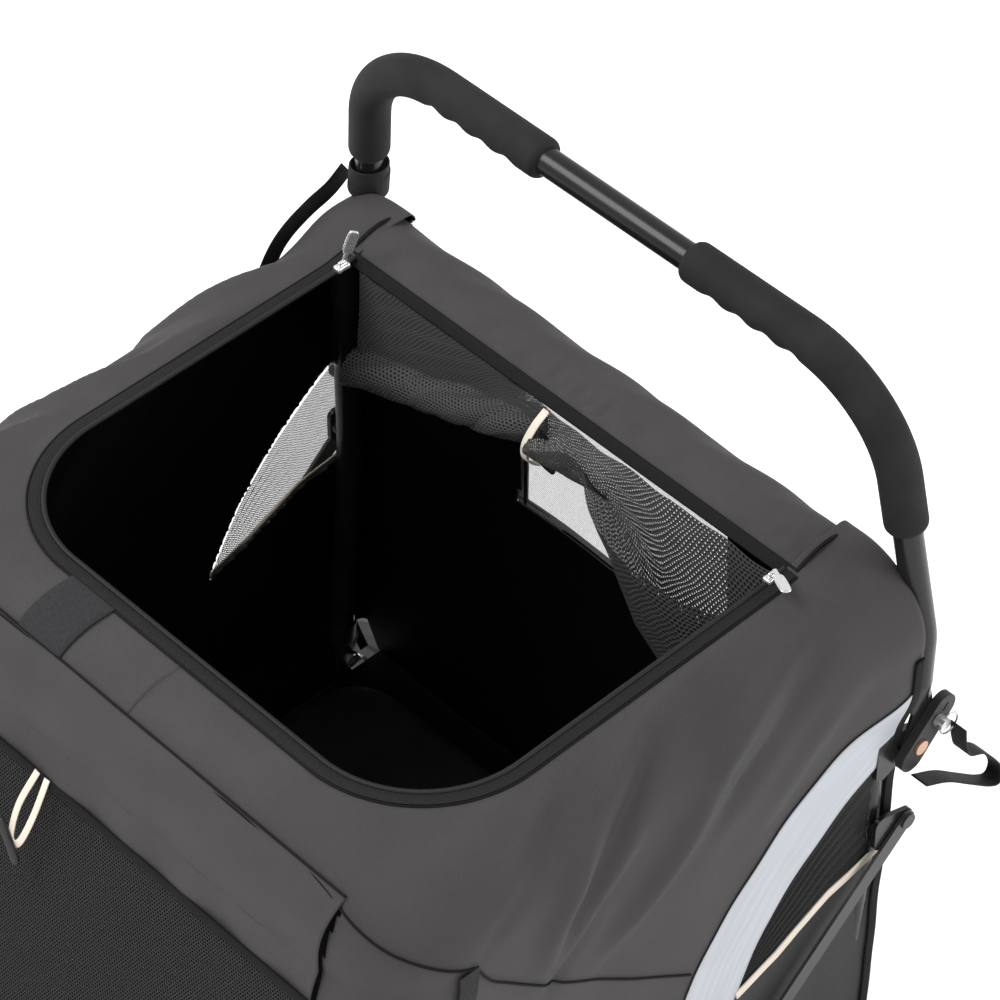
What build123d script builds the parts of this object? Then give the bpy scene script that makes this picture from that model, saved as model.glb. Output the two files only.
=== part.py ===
from build123d import *
import math
import os

# Four-wheeled pet stroller with a zipped fabric cabin, millimetres.
# +X is the left of the person who pushes it, +Y points back to that person, and
# +Z is up. The origin is on the floor, under the middle of the overall size.

# ---- driving dimensions -------------------------------------------------------
TUBE_R = 12.5  # frame tubes, 25 mm round
TUBE_WALL = 1.5
GRIP_R = 18.5  # foam over the handle tube

HANDLE_Z = 1050.0  # centre of the handle's cross bar
HANDLE_Y = 360.0
HANDLE_HALF = 294.7  # corner of the cross bar and a leg, before the bend
HANDLE_BEND = 105.0
KNEE = (333.0, 384.0, 789.0)  # where the leg turns upright
KNEE_BEND = 120.0
LEG_FOOT_Z = 735.0  # round tube ends here and is pressed flat below
GRIP_FOOT_Z = 898.0
GRIP_INNER_X = 82.0

RAIL_X = 318.0  # base rails and rear posts share one track
RAIL_Z = 270.0
RAIL_REAR_Y = 330.0
REAR_CROSS_Y = 232.0
NOSE_Y = -452.0
NOSE_BEND = 60.0

FOLD_Y, FOLD_Z = 320.0, 305.0  # fold hinge of the rear hoop
POST_X = 322.0
POST_FOOT = (325.0, 326.0)  # y, z of the post's lower end
POST_Y = 345.0
POST_KNEE_Z = 570.0
POST_KNEE_BEND = 400.0
HOOP_TOP_Z = 849.0
HOOP_BEND = 49.0

PIVOT_Y, PIVOT_Z = 376.0, 670.0  # the handle turns here
LOCK_Y, LOCK_Z = 395.0, 690.0  # quick-release pin
STAY_TOP = (372.0, 577.0)
STAY_FOOT = (60.0, 300.0)

CABIN_HALF = 338.2  # outside of the side walls
CABIN_TOP = 865.0
SHOULDER_R = 65.0
CLOTH = 3.0  # thickness given to every cloth wall
CABIN_REAR_Y = 361.0
FRONT_TOP_Y = -176.0  # stitched front edge of the roof
CHIN_Y, CHIN_Z = -200.0, 790.0
TOE_Y, TOE_Z = -436.0, 296.0
HEADER_FOOT_Z = 762.0  # binding between the front header and the mesh
STRIP_CENTRE = (496.0, 358.0)  # y, z of the arcs that bound the reflective strip
STRIP_OUTER_R, STRIP_INNER_R = 420.0, 346.0
MESH_TOP = (365.0, 547.0)  # y, z of the corner mesh's lower edge, at the back
MESH_TIP = (175.0, 496.0)

HATCH_HALF = 256.0
HATCH_FRONT_Y, HATCH_REAR_Y = -104.0, 296.0
HATCH_CORNER_R = 108.0
BAND_Y = 300.0  # the rear band starts here and covers the hoop

REAR_WHEEL_R, REAR_WHEEL_W = 150.0, 36.0
REAR_WHEEL_X, REAR_WHEEL_Y = 370.0, 290.0
AXLE_R = 11.0
CASTER_R, CASTER_W = 95.0, 34.0
CASTER_X, CASTER_Y, CASTER_TRAIL = 250.0, -379.0, 45.0
BRAKE_Y, BRAKE_Z, BRAKE_R = 318.0, 150.0, 4.0

GAP = 0.3  # running clearance between pieces that move
SIDES = (("left", 1), ("right", -1))

os.makedirs("parts", exist_ok=True)


# ---- helpers ------------------------------------------------------------------
def block(x, y, z):
    """Box from three (low, high) pairs."""
    size = (x[1] - x[0], y[1] - y[0], z[1] - z[0])
    middle = ((x[0] + x[1]) / 2, (y[0] + y[1]) / 2, (z[0] + z[1]) / 2)
    return Pos(*middle) * Box(*size)


def rod(start, end, radius):
    """Round bar between two points."""
    axis = Vector(*end) - Vector(*start)
    return Part(Solid.make_cylinder(radius, axis.length, Plane(origin=start, z_dir=axis)).wrapped)


def pipe(points, bends, outer, inner):
    """Tube bent along straight runs joined by arcs, one radius for each corner."""
    path = FilletPolyline(*points, radius=bends)
    section = Plane(origin=path @ 0, z_dir=path % 0) * (Circle(outer) - Circle(inner))
    return sweep(section, path=path, transition=Transition.ROUND)


def side_plate(outline, x0, x1):
    """Face drawn in the Y-Z plane, made solid from x0 to x1."""
    return Pos(x0, 0, 0) * extrude(Plane.YZ * outline, x1 - x0)


def hull_plate(circles, x0, x1):
    """Plate shaped like a band stretched round circles given as (y, z, radius)."""
    rims = [Pos(y, z) * Edge.make_circle(r) for y, z, r in circles]
    return side_plate(make_hull(rims), x0, x1)


def ribbon(points, bends, width, x0, x1):
    """Cloth or webbing that follows a bent line in the Y-Z plane, from x0 to x1."""
    return side_plate(trace(FilletPolyline(*points, radius=bends), width), x0, x1)


def across(y, z, radius, x0, x1):
    """Round bar along X."""
    return rod((x0, y, z), (x1, y, z), radius)


def on_side(shape, hand):
    """The piece as drawn at +X, or its mirror image at -X."""
    return shape if hand > 0 else mirror(shape, about=Plane.YZ)


def both(shape):
    return shape + mirror(shape, about=Plane.YZ)


# ---- base frame ---------------------------------------------------------------
def base_tube():
    """One tube bent to a U: two side rails and the nose bar."""
    points = [
        (RAIL_X, RAIL_REAR_Y, RAIL_Z),
        (RAIL_X, NOSE_Y, RAIL_Z),
        (-RAIL_X, NOSE_Y, RAIL_Z),
        (-RAIL_X, RAIL_REAR_Y, RAIL_Z),
    ]
    return pipe(points, [NOSE_BEND] * 2, TUBE_R, TUBE_R - TUBE_WALL)


def rail_tool(y0, y1, extra=0.0):
    """The left rail as a solid bar, to cut saddles with."""
    return rod((RAIL_X, y0, RAIL_Z), (RAIL_X, y1, RAIL_Z), TUBE_R + extra)


def cross_tube(y, z, half, radius=TUBE_R, wall=TUBE_WALL):
    """Straight tube across the frame, its ends fitted to the rails."""
    tube = across(y, z, radius, -half, half) - across(y, z, radius - wall, -half, half)
    return tube - both(rail_tool(y - 30, y + 30))


def rail_cap():
    """Plug that closes the rear end of a rail."""
    plug = rod((RAIL_X, RAIL_REAR_Y - 14, RAIL_Z), (RAIL_X, RAIL_REAR_Y, RAIL_Z), TUBE_R - TUBE_WALL)
    head = rod((RAIL_X, RAIL_REAR_Y, RAIL_Z), (RAIL_X, RAIL_REAR_Y + 4, RAIL_Z), TUBE_R)
    return plug + head


def axle_bracket():
    """Cast leg from the rail down to the axle, with a bearing for the brake rod."""
    leg = hull_plate(
        [(262, 258, 6), (328, 258, 6), (REAR_WHEEL_Y, REAR_WHEEL_R, 19), (BRAKE_Y, BRAKE_Z, 9)],
        309,
        327,
    )
    leg -= rail_tool(240, 350)
    leg -= across(REAR_WHEEL_Y, REAR_WHEEL_R, AXLE_R, 300, 335)
    leg -= across(BRAKE_Y, BRAKE_Z, BRAKE_R + GAP, 300, 335)
    return leg - hull_plate([(283, 222, 11), (309, 222, 11), (296, 192, 8)], 300, 335)


def axle_tube():
    """Tube that carries both rear wheels, with a stub pressed in each end."""
    tube = cross_tube(REAR_WHEEL_Y, REAR_WHEEL_R, 344, AXLE_R, 2.0)
    stub = across(REAR_WHEEL_Y, REAR_WHEEL_R, 6, 330, 394)
    collar = across(REAR_WHEEL_Y, REAR_WHEEL_R, 9, 330, 344)
    return tube + both(stub + collar)


def caster_housing():
    """Socket under the front cross tube that holds one swivel stem."""
    cup = rod((CASTER_X, CASTER_Y, 232), (CASTER_X, CASTER_Y, 262), 23)
    ears = block((CASTER_X - 16, CASTER_X + 16), (CASTER_Y - 18, CASTER_Y + 18), (255, 277))
    housing = cup + ears - across(CASTER_Y, RAIL_Z, TUBE_R, 200, 300)
    return housing - rod((CASTER_X, CASTER_Y, 230), (CASTER_X, CASTER_Y, 252), 8 + GAP)


def fold_bracket():
    """Two cheeks on the rail that hold the fold bolt."""
    shape = [(FOLD_Y - 2, FOLD_Z, 11), (300, 276, 5), (338, 276, 5)]
    cheeks = hull_plate(shape, 304, 311.4) + hull_plate(shape, 332.6, 335)
    foot = block((304, 335), (298, 338), (276, 289))
    return (cheeks + foot) - rail_tool(280, 345) - across(FOLD_Y, FOLD_Z, 4, 300, 340)


def floor_board():
    """Stiff board that the pet stands on, resting on the cross tubes."""
    board = block((-300, 300), (-426, 325), (283, 291))
    return fillet(board.edges().filter_by(Axis.Z), 30)


def cushion():
    pad = block((-292, 292), (-414, 318), (291.3, 316))
    pad = fillet(pad.edges().filter_by(Axis.Z), 32)
    return fillet(pad.faces().sort_by(Axis.Z)[-1].edges(), 10)


def frame_bolts():
    """Button heads of the bolts through the frame brackets."""
    spots = [(FOLD_Y - 14, 280), (FOLD_Y + 12, 280)]
    heads = [across(y, z, 3.5, 335, 337) for y, z in spots]
    under = [
        rod((CASTER_X + dx, CASTER_Y - 21, 266), (CASTER_X + dx, CASTER_Y - 18, 266), 3.5)
        for dx in (-9, 9)
    ]
    legs = [across(y, 240, 4, 327, 329.5) for y in (270, 322)]
    return both(Compound(children=[Part(shape.wrapped) for shape in heads + under + legs]))


# ---- rear hoop ----------------------------------------------------------------
def hoop_tube():
    """Inverted U that holds the back of the cabin up."""
    post = [(POST_X, *POST_FOOT), (POST_X, POST_Y, POST_KNEE_Z), (POST_X, POST_Y, HOOP_TOP_Z)]
    other = [(-x, y, z) for x, y, z in reversed(post)]
    bends = [POST_KNEE_BEND, HOOP_BEND, HOOP_BEND, POST_KNEE_BEND]
    return pipe(post + other, bends, TUBE_R, TUBE_R - TUBE_WALL)


def post_point(z):
    """Point on the leaning lower part of the left post."""
    lean = (POST_Y - POST_FOOT[0]) / (POST_KNEE_Z - POST_FOOT[1])
    return (POST_X, POST_FOOT[0] + lean * (z - POST_FOOT[1]), z)


def hoop_foot():
    """Knuckle at the end of a post, turning on the fold bolt."""
    knuckle = hull_plate([(FOLD_Y, FOLD_Z, 12), (326, 322, 12)], 311.7, 332.3)
    sleeve = rod(post_point(322), post_point(341), 14.2)
    plug = rod(post_point(POST_FOOT[1]), post_point(358), TUBE_R)
    foot = knuckle + sleeve - plug
    return foot - across(FOLD_Y, FOLD_Z, 4 + GAP, 300, 340)


def fold_bolt():
    """Bolt through both cheeks, on which the hoop's foot turns."""
    shank = across(FOLD_Y, FOLD_Z, 4, 302, 335)
    return shank + across(FOLD_Y, FOLD_Z, 7, 335, 337.5) + across(FOLD_Y, FOLD_Z, 7, 300, 304)


def post_bracket():
    """Ear for the handle's pivot and, lower down, the ear for the folding stay."""
    post = rod((POST_X, POST_Y, 540), (POST_X, POST_Y, 720), TUBE_R)
    upper = hull_plate([(PIVOT_Y, PIVOT_Z, 13), (344, 652, 8), (344, 690, 8)], 331, CABIN_HALF)
    upper -= across(PIVOT_Y, PIVOT_Z, 4 + GAP, 325, 345)
    lower = hull_plate([(*STAY_TOP, 10), (344, 568, 8), (344, 590, 8)], CABIN_HALF + GAP, 343)
    spacer = across(POST_Y, STAY_TOP[1] + 2, 8, 331, CABIN_HALF + 2 * GAP)
    lower -= across(*STAY_TOP, 4 + GAP, 330, 350)
    return (upper + lower + spacer) - post


def stay():
    """Flat bar that locks the hoop upright, with its two rivets as solids of their own."""
    bar = hull_plate([(*STAY_TOP, 9), (*STAY_FOOT, 9)], 343.5, 346.5)
    bar -= across(*STAY_TOP, 4, 340, 350) + across(*STAY_FOOT, 4, 340, 350)
    upper = across(*STAY_TOP, 4, 339, 346.5) + across(*STAY_TOP, 7.5, 346.5, 349)
    lower = across(*STAY_FOOT, 4, 343.3, 346.5) + across(*STAY_FOOT, 7.5, 346.5, 349)
    return Compound(children=[Part(shape.wrapped) for shape in (bar, upper, lower)])


def rail_shoe():
    """Saddle that slides along the rail under the stay's lower end."""
    y = STAY_FOOT[0]
    saddle = block((301.5, 334.5), (y - 20, y + 20), (262, 287))
    boss = hull_plate([(y, STAY_FOOT[1], 12), (y - 12, 276, 8), (y + 12, 276, 8)], 333, 343)
    return saddle + boss - rail_tool(y - 40, y + 40, GAP) - block(
        (305.2, 330.8), (y - 40, y + 40), (250, RAIL_Z)
    )


# ---- handle -------------------------------------------------------------------
def leg_point(z):
    """Point on the straight part of the left handle leg at height z."""
    t = (HANDLE_Z - z) / (HANDLE_Z - KNEE[2])
    return (HANDLE_HALF + t * (KNEE[0] - HANDLE_HALF), HANDLE_Y + t * (KNEE[1] - HANDLE_Y), z)


def handle_tube():
    """U-shaped handle with its two ends pressed flat for the pivot."""
    corner = (HANDLE_HALF, HANDLE_Y, HANDLE_Z)
    half = [(KNEE[0], KNEE[1], LEG_FOOT_Z), KNEE, corner]
    other = [(-x, y, z) for x, y, z in reversed(half)]
    bends = [KNEE_BEND, HANDLE_BEND, HANDLE_BEND, KNEE_BEND]
    tube = pipe(half + other, bends, TUBE_R, TUBE_R - TUBE_WALL)
    top = Pos(KNEE[0], KNEE[1], LEG_FOOT_Z) * Circle(TUBE_R)
    flat_x = (CABIN_HALF + GAP + 341.3) / 2
    flat = Pos(flat_x, KNEE[1], 706) * RectangleRounded(341.3 - CABIN_HALF - GAP, 26, 1.2)
    taper = loft([flat, top])
    tang = hull_plate([(PIVOT_Y, PIVOT_Z, 13), (PIVOT_Y + 8, 700, 13)], CABIN_HALF + GAP, 341.3)
    foot = taper + tang - across(PIVOT_Y, PIVOT_Z, 4, 330, 350)
    foot -= across(LOCK_Y, LOCK_Z, 3.5 + GAP, 330, 350)
    return tube + both(foot)


def grip():
    """Foam sleeve round one corner of the handle."""
    path = [leg_point(GRIP_FOOT_Z), (HANDLE_HALF, HANDLE_Y, HANDLE_Z), (GRIP_INNER_X, HANDLE_Y, HANDLE_Z)]
    return pipe(path, [HANDLE_BEND], GRIP_R, TUBE_R)


def link_plate():
    """Thick arm beside the handle's foot, held by the pivot and the lock pin."""
    arm = hull_plate([(368, 662, 14), (403, 698, 13)], 341.5, 349.5)
    arm -= across(PIVOT_Y, PIVOT_Z, 4, 330, 360)
    arm -= across(LOCK_Y, LOCK_Z, 3.5 + GAP, 330, 360)
    slot = hull_plate([(401.5, 696.5, 1.2), (406, 701, 1.2)], 330, 360)
    return arm - slot


def handle_rivet():
    shank = across(PIVOT_Y, PIVOT_Z, 4, CABIN_HALF - 3, 349.5)
    return shank + across(PIVOT_Y, PIVOT_Z, 7, 349.5, 351.5)


def lock_pin():
    """Spring-ball pin with a split ring through its head."""
    shank = across(LOCK_Y, LOCK_Z, 3.5, CABIN_HALF + GAP + 0.2, 350)
    head = across(LOCK_Y, LOCK_Z, 6, 350, 359) - rod((355, 380, LOCK_Z), (355, 410, LOCK_Z), 1.6)
    ring = Pos(355, LOCK_Y + 8.5, LOCK_Z - 7) * Rot(0, 90, 0) * Torus(10.5, 1.0)
    return shank + head + ring


def pin_tether():
    """Webbing from the lock pin's ring back to the corner of the cabin."""
    points = [(411, 667), (426, 641), (456, 607), (469, 583), (461, 569), (420, 604), (373, 642)]
    return ribbon(points, [10, 20, 6, 4, 10], 1.8, 352, 370)


def wrist_strap():
    """Webbing looped round the right handle leg and sewn to the cabin's side."""
    low, high = leg_point(873), leg_point(891)
    loop = rod(low, high, TUBE_R + 2.4) - rod(low, high, TUBE_R + 0.1)
    tail = ribbon([(374, 876), (328, 853), (286, 822), (262, 770)], [60, 60], 18, 345, 347)
    link = block((330, 345.5), (366, 384), (873, 883)) - rod(leg_point(860), leg_point(900), TUBE_R + 1)
    return mirror(loop + link + tail, about=Plane.YZ)


# ---- cabin --------------------------------------------------------------------
def wall_section():
    """Front view of one side wall with its shoulder and its turned-in hem."""
    foot = (302.0, 292.0)
    flare = (CABIN_HALF, 345.0)
    arc_mid = (
        CABIN_HALF - SHOULDER_R + SHOULDER_R * math.sin(math.pi / 4),
        CABIN_TOP - SHOULDER_R + SHOULDER_R * math.cos(math.pi / 4),
    )
    spring = (CABIN_HALF, CABIN_TOP - SHOULDER_R)
    crown = (CABIN_HALF - SHOULDER_R, CABIN_TOP)
    line = Polyline(foot, flare, spring) + ThreePointArc(spring, arc_mid, crown)
    inner_crown = (crown[0], crown[1] - CLOTH)
    inner_mid = (arc_mid[0] - CLOTH * math.sqrt(0.5), arc_mid[1] - CLOTH * math.sqrt(0.5))
    inner_spring = (spring[0] - CLOTH, spring[1])
    back = ThreePointArc(inner_crown, inner_mid, inner_spring)
    back += Polyline(inner_spring, (flare[0] - CLOTH, flare[1] + 1), (foot[0] - CLOTH, foot[1] + 1))
    edges = line + Line(crown, inner_crown) + back + Line((foot[0] - CLOTH, foot[1] + 1), foot)
    return make_face(edges)


def side_wall():
    """Whole left side wall before the strip and the mesh are let into it."""
    length = CABIN_REAR_Y - TOE_Y
    wall = extrude(Plane.XZ.offset(-CABIN_REAR_Y) * wall_section(), length)
    keep = Polyline(
        (CABIN_REAR_Y, 280),
        (CABIN_REAR_Y, 880),
        (FRONT_TOP_Y, 880),
        (FRONT_TOP_Y, CABIN_TOP - 4),
        (CHIN_Y, CHIN_Z),
        (TOE_Y, TOE_Z),
        (TOE_Y, 280),
        close=True,
    )
    wall &= side_plate(make_face(keep), 250, 350)
    wall -= block((290, 350), (FOLD_Y - 24, 370), (280, 362))  # room for the fold bracket
    wall -= block((330, 350), (330, 370), (636, 704))  # room for the handle's bracket
    wall -= across(POST_Y, STAY_TOP[1] + 2, 8.5, 325, 350)
    slope = Polyline((CABIN_REAR_Y, 280), (CABIN_REAR_Y, 575), (345, 325), (345, 280), close=True)
    return wall - side_plate(make_face(slope), 290, 350)


def strip_tool():
    """Reflective strip: a band between two arcs, from the rear corner down to the hem."""
    ring = Pos(*STRIP_CENTRE) * (Circle(STRIP_OUTER_R) - Circle(STRIP_INNER_R))
    return side_plate(ring, 290, 350)


def mesh_tool():
    """Air mesh in the corner between the strip and the piping below it."""
    corner = Polyline(MESH_TIP, (MESH_TIP[0], 800), (MESH_TOP[0], 800), MESH_TOP, close=True)
    return side_plate(Pos(*STRIP_CENTRE) * Circle(STRIP_INNER_R) & make_face(corner), 290, 350)


def side_panel():
    return side_wall() - strip_tool() - mesh_tool()


def reflective_strip():
    return side_wall() & strip_tool()


def side_mesh():
    return side_wall() & mesh_tool()


def hatch_outline(grow=0.0):
    """Roof opening: square at the back, round at the front."""
    half = HATCH_HALF + grow
    front = HATCH_FRONT_Y - grow
    round_y = front + HATCH_CORNER_R
    plain = Pos(0, (round_y + HATCH_REAR_Y) / 2) * Rectangle(2 * half, HATCH_REAR_Y - round_y)
    nose = Pos(0, (front + round_y) / 2 + 20) * Rectangle(2 * half, HATCH_CORNER_R + 40)
    nose = fillet(nose.vertices().group_by(Axis.Y)[0], HATCH_CORNER_R)
    return plain + nose


def cabin_roof():
    """Roof cloth between the shoulders, open over the hatch."""
    half = CABIN_HALF - SHOULDER_R - 0.1
    sheet = block((-half, half), (FRONT_TOP_Y, BAND_Y - GAP), (CABIN_TOP - CLOTH, CABIN_TOP))
    return sheet - Pos(0, 0, CABIN_TOP - 20) * extrude(hatch_outline(), 40)


def zipper_track():
    """Zipper tape and teeth round three sides of the hatch."""
    track = hatch_outline(2) - hatch_outline(-8)
    track -= Pos(0, HATCH_REAR_Y) * Rectangle(600, 8)
    return Pos(0, 0, CABIN_TOP + 0.2) * extrude(track, 2.0)


def rear_band():
    """Padded band that carries the roof over the hoop."""
    half = CABIN_HALF - SHOULDER_R - 0.1
    top = [(BAND_Y, 862), (BAND_Y, 868), (334, 879), (350, 878), (CABIN_REAR_Y, 868)]
    under = [(CABIN_REAR_Y, 840), (358.3, 840), (358.3, 862)]
    return side_plate(make_face(Polyline(*top, *under, close=True)), -half, half)


def rear_panel():
    """Back wall, following the posts down to the board."""
    outer = [(CABIN_REAR_Y, 839.7), (CABIN_REAR_Y, 575), (345, 325), (343, 296)]
    inner = [(340, 296), (342, 325), (CABIN_REAR_Y - CLOTH, 575), (CABIN_REAR_Y - CLOTH, 839.7)]
    wall = side_plate(make_face(Polyline(*outer, *inner, close=True)), -334.9, 334.9)
    clear = both(block((301, 340), (280, 370), (280, 345)))
    window = block((-300, 300), (330, 370), (600, 790))
    corners = both(block((320, 340), (350, 365), (790, 840)))
    ears = both(block((326, 340), (350, 365), (636, 704)))
    return wall - clear - window - corners - ears


def rear_mesh():
    """Fine mesh window in the back wall."""
    return block((-299.8, 299.8), (CABIN_REAR_Y - 2.4, CABIN_REAR_Y - 0.6), (600.2, 789.8))


def front_wall():
    """Sloping front wall, from the roof's stitched edge to the toe."""
    points = [(FRONT_TOP_Y + 0.2, 860), (CHIN_Y + 3, CHIN_Z), (TOE_Y + 5, TOE_Z + 2)]
    wall = ribbon(points, [60], CLOTH, -334.5, 334.5)
    wall -= both(block((301, 340), (-450, -380), (280, 345)))
    return wall - both(block((273, 340), (-260, -150), (800, 880)))


def front_header():
    """Sewn cloth header that rounds over the front edge of the roof."""
    return front_wall() & block((-340, 340), (-300, -100), (HEADER_FOOT_Z, 900))


def front_panel():
    """Mesh of the front wall, below the header's binding."""
    return front_wall() & block((-340, 340), (-500, -100), (280, HEADER_FOOT_Z - GAP))


def hatch_curtain():
    """Mesh hatch cover, unzipped and gathered inside the back of the cabin."""
    pleats = block((-238, 238), (262, 297), (770, 861.5))
    return fillet(pleats.edges().filter_by(Axis.X), 12)


def hook_patch():
    return block((-134, -82), (-170, -114), (CABIN_TOP + 0.2, CABIN_TOP + 1.8))


def toggle(x, y, z):
    """Flat bar toggle on a cord loop, hanging down."""
    bar = Pos(x, y, z) * Box(46, 5, 9)
    loop = Pos(x, y, z + 16) * Rot(90, 0, 0) * Torus(12, 1.1)
    return Compound(children=[Part(bar.wrapped), Part(loop.wrapped)])


def zip_slider(hand):
    """Slider on the hatch zipper with its pull tab: upright at right, flat at left."""
    x, y, z = hand * 253.0, 286.0, CABIN_TOP + 2.5
    slider = block((x - 4.5, x + 4.5), (y - 7, y + 7), (z, z + 4.5))
    if hand < 0:
        tab = block((x - 1, x + 1), (y - 5, y + 5), (z + 4.5, z + 30))
    else:
        tab = block((x - 30, x - 4.5), (y - 5, y + 5), (z + 1, z + 2.6))
    return slider + tab


# ---- wheels and brake -----------------------------------------------------------
def wheel_profile(radius, width, rim_r):
    """Tyre section, half an oval with a flat tread, on the X-Z plane."""
    half = width / 2
    outer = [(-half * 0.55, radius), (half * 0.55, radius), (half, radius - 10), (half, rim_r + 4)]
    inner = [(half * 0.7, rim_r), (-half * 0.7, rim_r), (-half, rim_r + 4), (-half, radius - 10)]
    return make_face(Polyline(*outer, *inner, close=True))


def tyre(radius, width, rim_r):
    return revolve(Plane.XZ * wheel_profile(radius, width, rim_r), Axis.X)


def rim(width, rim_r, hub_r, bore_r, spokes):
    """Hub, spokes and rim bed in one moulding."""
    bed = across(0, 0, rim_r - 0.2, -width / 2 + 5, width / 2 - 5)
    bed -= across(0, 0, rim_r - 9, -width, width)
    hub = across(0, 0, hub_r, -width / 2, width / 2)
    for number in range(spokes):
        arm = block((-6, 6), (-7, 7), (hub_r - 4, rim_r - 5))
        hub += Rot(360 / spokes * number, 0, 0) * arm
    return bed + hub - across(0, 0, bore_r, -width, width)


def caster_wheel():
    """Tyre and rim of a front wheel, two solids."""
    parts = (tyre(CASTER_R, CASTER_W, 74), rim(CASTER_W, 74, 15, 4 + GAP, 5))
    return Compound(children=[Part(shape.wrapped) for shape in parts])


def rear_place(hand):
    return Pos(hand * REAR_WHEEL_X, REAR_WHEEL_Y, REAR_WHEEL_R)


def caster_place(hand):
    return Pos(hand * CASTER_X, CASTER_Y + CASTER_TRAIL, CASTER_R)


def caster_fork():
    """Stem, crown and two legs; the axle bolt is a solid of its own."""
    x, y = CASTER_X, CASTER_Y
    legs = hull_plate([(y + CASTER_TRAIL, CASTER_R, 12), (y - 8, 220, 8), (y + 16, 220, 8)], x + 20, x + 25)
    legs += hull_plate([(y + CASTER_TRAIL, CASTER_R, 12), (y - 8, 220, 8), (y + 16, 220, 8)], x - 25, x - 20)
    crown = block((x - 25, x + 25), (y - 20, y + 26), (218, 228))
    stem = rod((x, y, 228), (x, y, 251), 8) + rod((x, y, 227), (x, y, 231.6), 14)
    bolt = across(y + CASTER_TRAIL, CASTER_R, 4, x - 28, x + 28)
    return crown + legs + stem + bolt


def brake_rod():
    """Rod through both leg brackets with a brake cam at each end."""
    cam = hull_plate([(BRAKE_Y, BRAKE_Z, 9), (BRAKE_Y + 4, BRAKE_Z + 32, 6)], 334, 342)
    return across(BRAKE_Y, BRAKE_Z, BRAKE_R, -342, 342) + both(cam)


def brake_pedal():
    """Foot pedal clamped on the brake rod."""
    arm = hull_plate([(BRAKE_Y, BRAKE_Z, 9), (372, 172, 5)], -14, 14)
    plate = hull_plate([(366, 168, 5), (418, 186, 5)], -48, 48)
    return arm + plate - across(BRAKE_Y, BRAKE_Z, BRAKE_R, -60, 60)


# ---- write every piece ----------------------------------------------------------
pieces = {
    "base_tube": base_tube(),
    "rear_cross_tube": cross_tube(REAR_CROSS_Y, RAIL_Z, RAIL_X),
    "caster_cross_tube": cross_tube(CASTER_Y, RAIL_Z, RAIL_X),
    "axle_tube": axle_tube(),
    "rail_caps": both(rail_cap()),
    "frame_bolts": frame_bolts(),
    "fold_bolts": both(fold_bolt()),
    "floor_board": floor_board(),
    "cushion": cushion(),
    "hoop_tube": hoop_tube(),
    "handle_tube": handle_tube(),
    "handle_rivets": both(handle_rivet()),
    "wrist_strap": wrist_strap(),
    "cabin_roof": cabin_roof(),
    "rear_band": rear_band(),
    "rear_panel": rear_panel(),
    "rear_mesh": rear_mesh(),
    "front_panel": front_panel(),
    "front_header": front_header(),
    "zipper_track": zipper_track(),
    "hatch_curtain": hatch_curtain(),
    "hook_patch": hook_patch(),
    "curtain_toggle": toggle(-30, 258, 800),
    "front_toggle": toggle(-80, -262, 745),
    "axle_brackets": both(axle_bracket()),
    "caster_housings": both(caster_housing()),
    "fold_brackets": both(fold_bracket()),
    "hoop_feet": both(hoop_foot()),
    "reflective_strips": both(reflective_strip()),
    "side_meshes": both(side_mesh()),
    "brake_rod": brake_rod(),
    "brake_pedal": brake_pedal(),
}

paired = {
    "post_bracket": post_bracket(),
    "stay": stay(),
    "rail_shoe": rail_shoe(),
    "grip": grip(),
    "link_plate": link_plate(),
    "lock_pin": lock_pin(),
    "pin_tether": pin_tether(),
    "side_panel": side_panel(),
    "caster_fork": caster_fork(),
}

for side, hand in SIDES:
    for name, shape in paired.items():
        pieces[f"{name}_{side}"] = on_side(shape, hand)
    pieces[f"zip_slider_{side}"] = zip_slider(hand)
    pieces[f"rear_tyre_{side}"] = rear_place(hand) * tyre(REAR_WHEEL_R, REAR_WHEEL_W, 126)
    pieces[f"rear_rim_{side}"] = rear_place(hand) * rim(REAR_WHEEL_W, 126, 20, 6 + GAP, 5)
    pieces[f"caster_wheel_{side}"] = caster_place(hand) * caster_wheel()

for name, shape in pieces.items():
    export_step(shape, f"parts/{name}.step")
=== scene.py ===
import math

import bpy
import numpy as np
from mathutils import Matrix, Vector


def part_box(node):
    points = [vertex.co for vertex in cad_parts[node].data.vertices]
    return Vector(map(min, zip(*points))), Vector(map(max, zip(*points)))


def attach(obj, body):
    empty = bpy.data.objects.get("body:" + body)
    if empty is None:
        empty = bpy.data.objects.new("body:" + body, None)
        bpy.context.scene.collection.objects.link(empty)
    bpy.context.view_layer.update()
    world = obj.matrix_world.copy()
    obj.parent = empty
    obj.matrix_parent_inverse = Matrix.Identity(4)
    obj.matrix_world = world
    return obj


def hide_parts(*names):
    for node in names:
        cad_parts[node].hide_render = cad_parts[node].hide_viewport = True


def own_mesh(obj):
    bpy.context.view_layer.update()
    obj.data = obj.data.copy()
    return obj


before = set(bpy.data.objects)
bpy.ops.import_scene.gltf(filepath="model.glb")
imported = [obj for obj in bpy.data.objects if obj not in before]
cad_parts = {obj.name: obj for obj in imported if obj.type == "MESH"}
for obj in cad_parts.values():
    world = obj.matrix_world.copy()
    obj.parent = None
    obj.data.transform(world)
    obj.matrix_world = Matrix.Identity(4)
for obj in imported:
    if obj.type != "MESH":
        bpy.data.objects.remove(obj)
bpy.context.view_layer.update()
scene = bpy.context.scene
SIDES = (("left", 1), ("right", -1))


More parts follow.
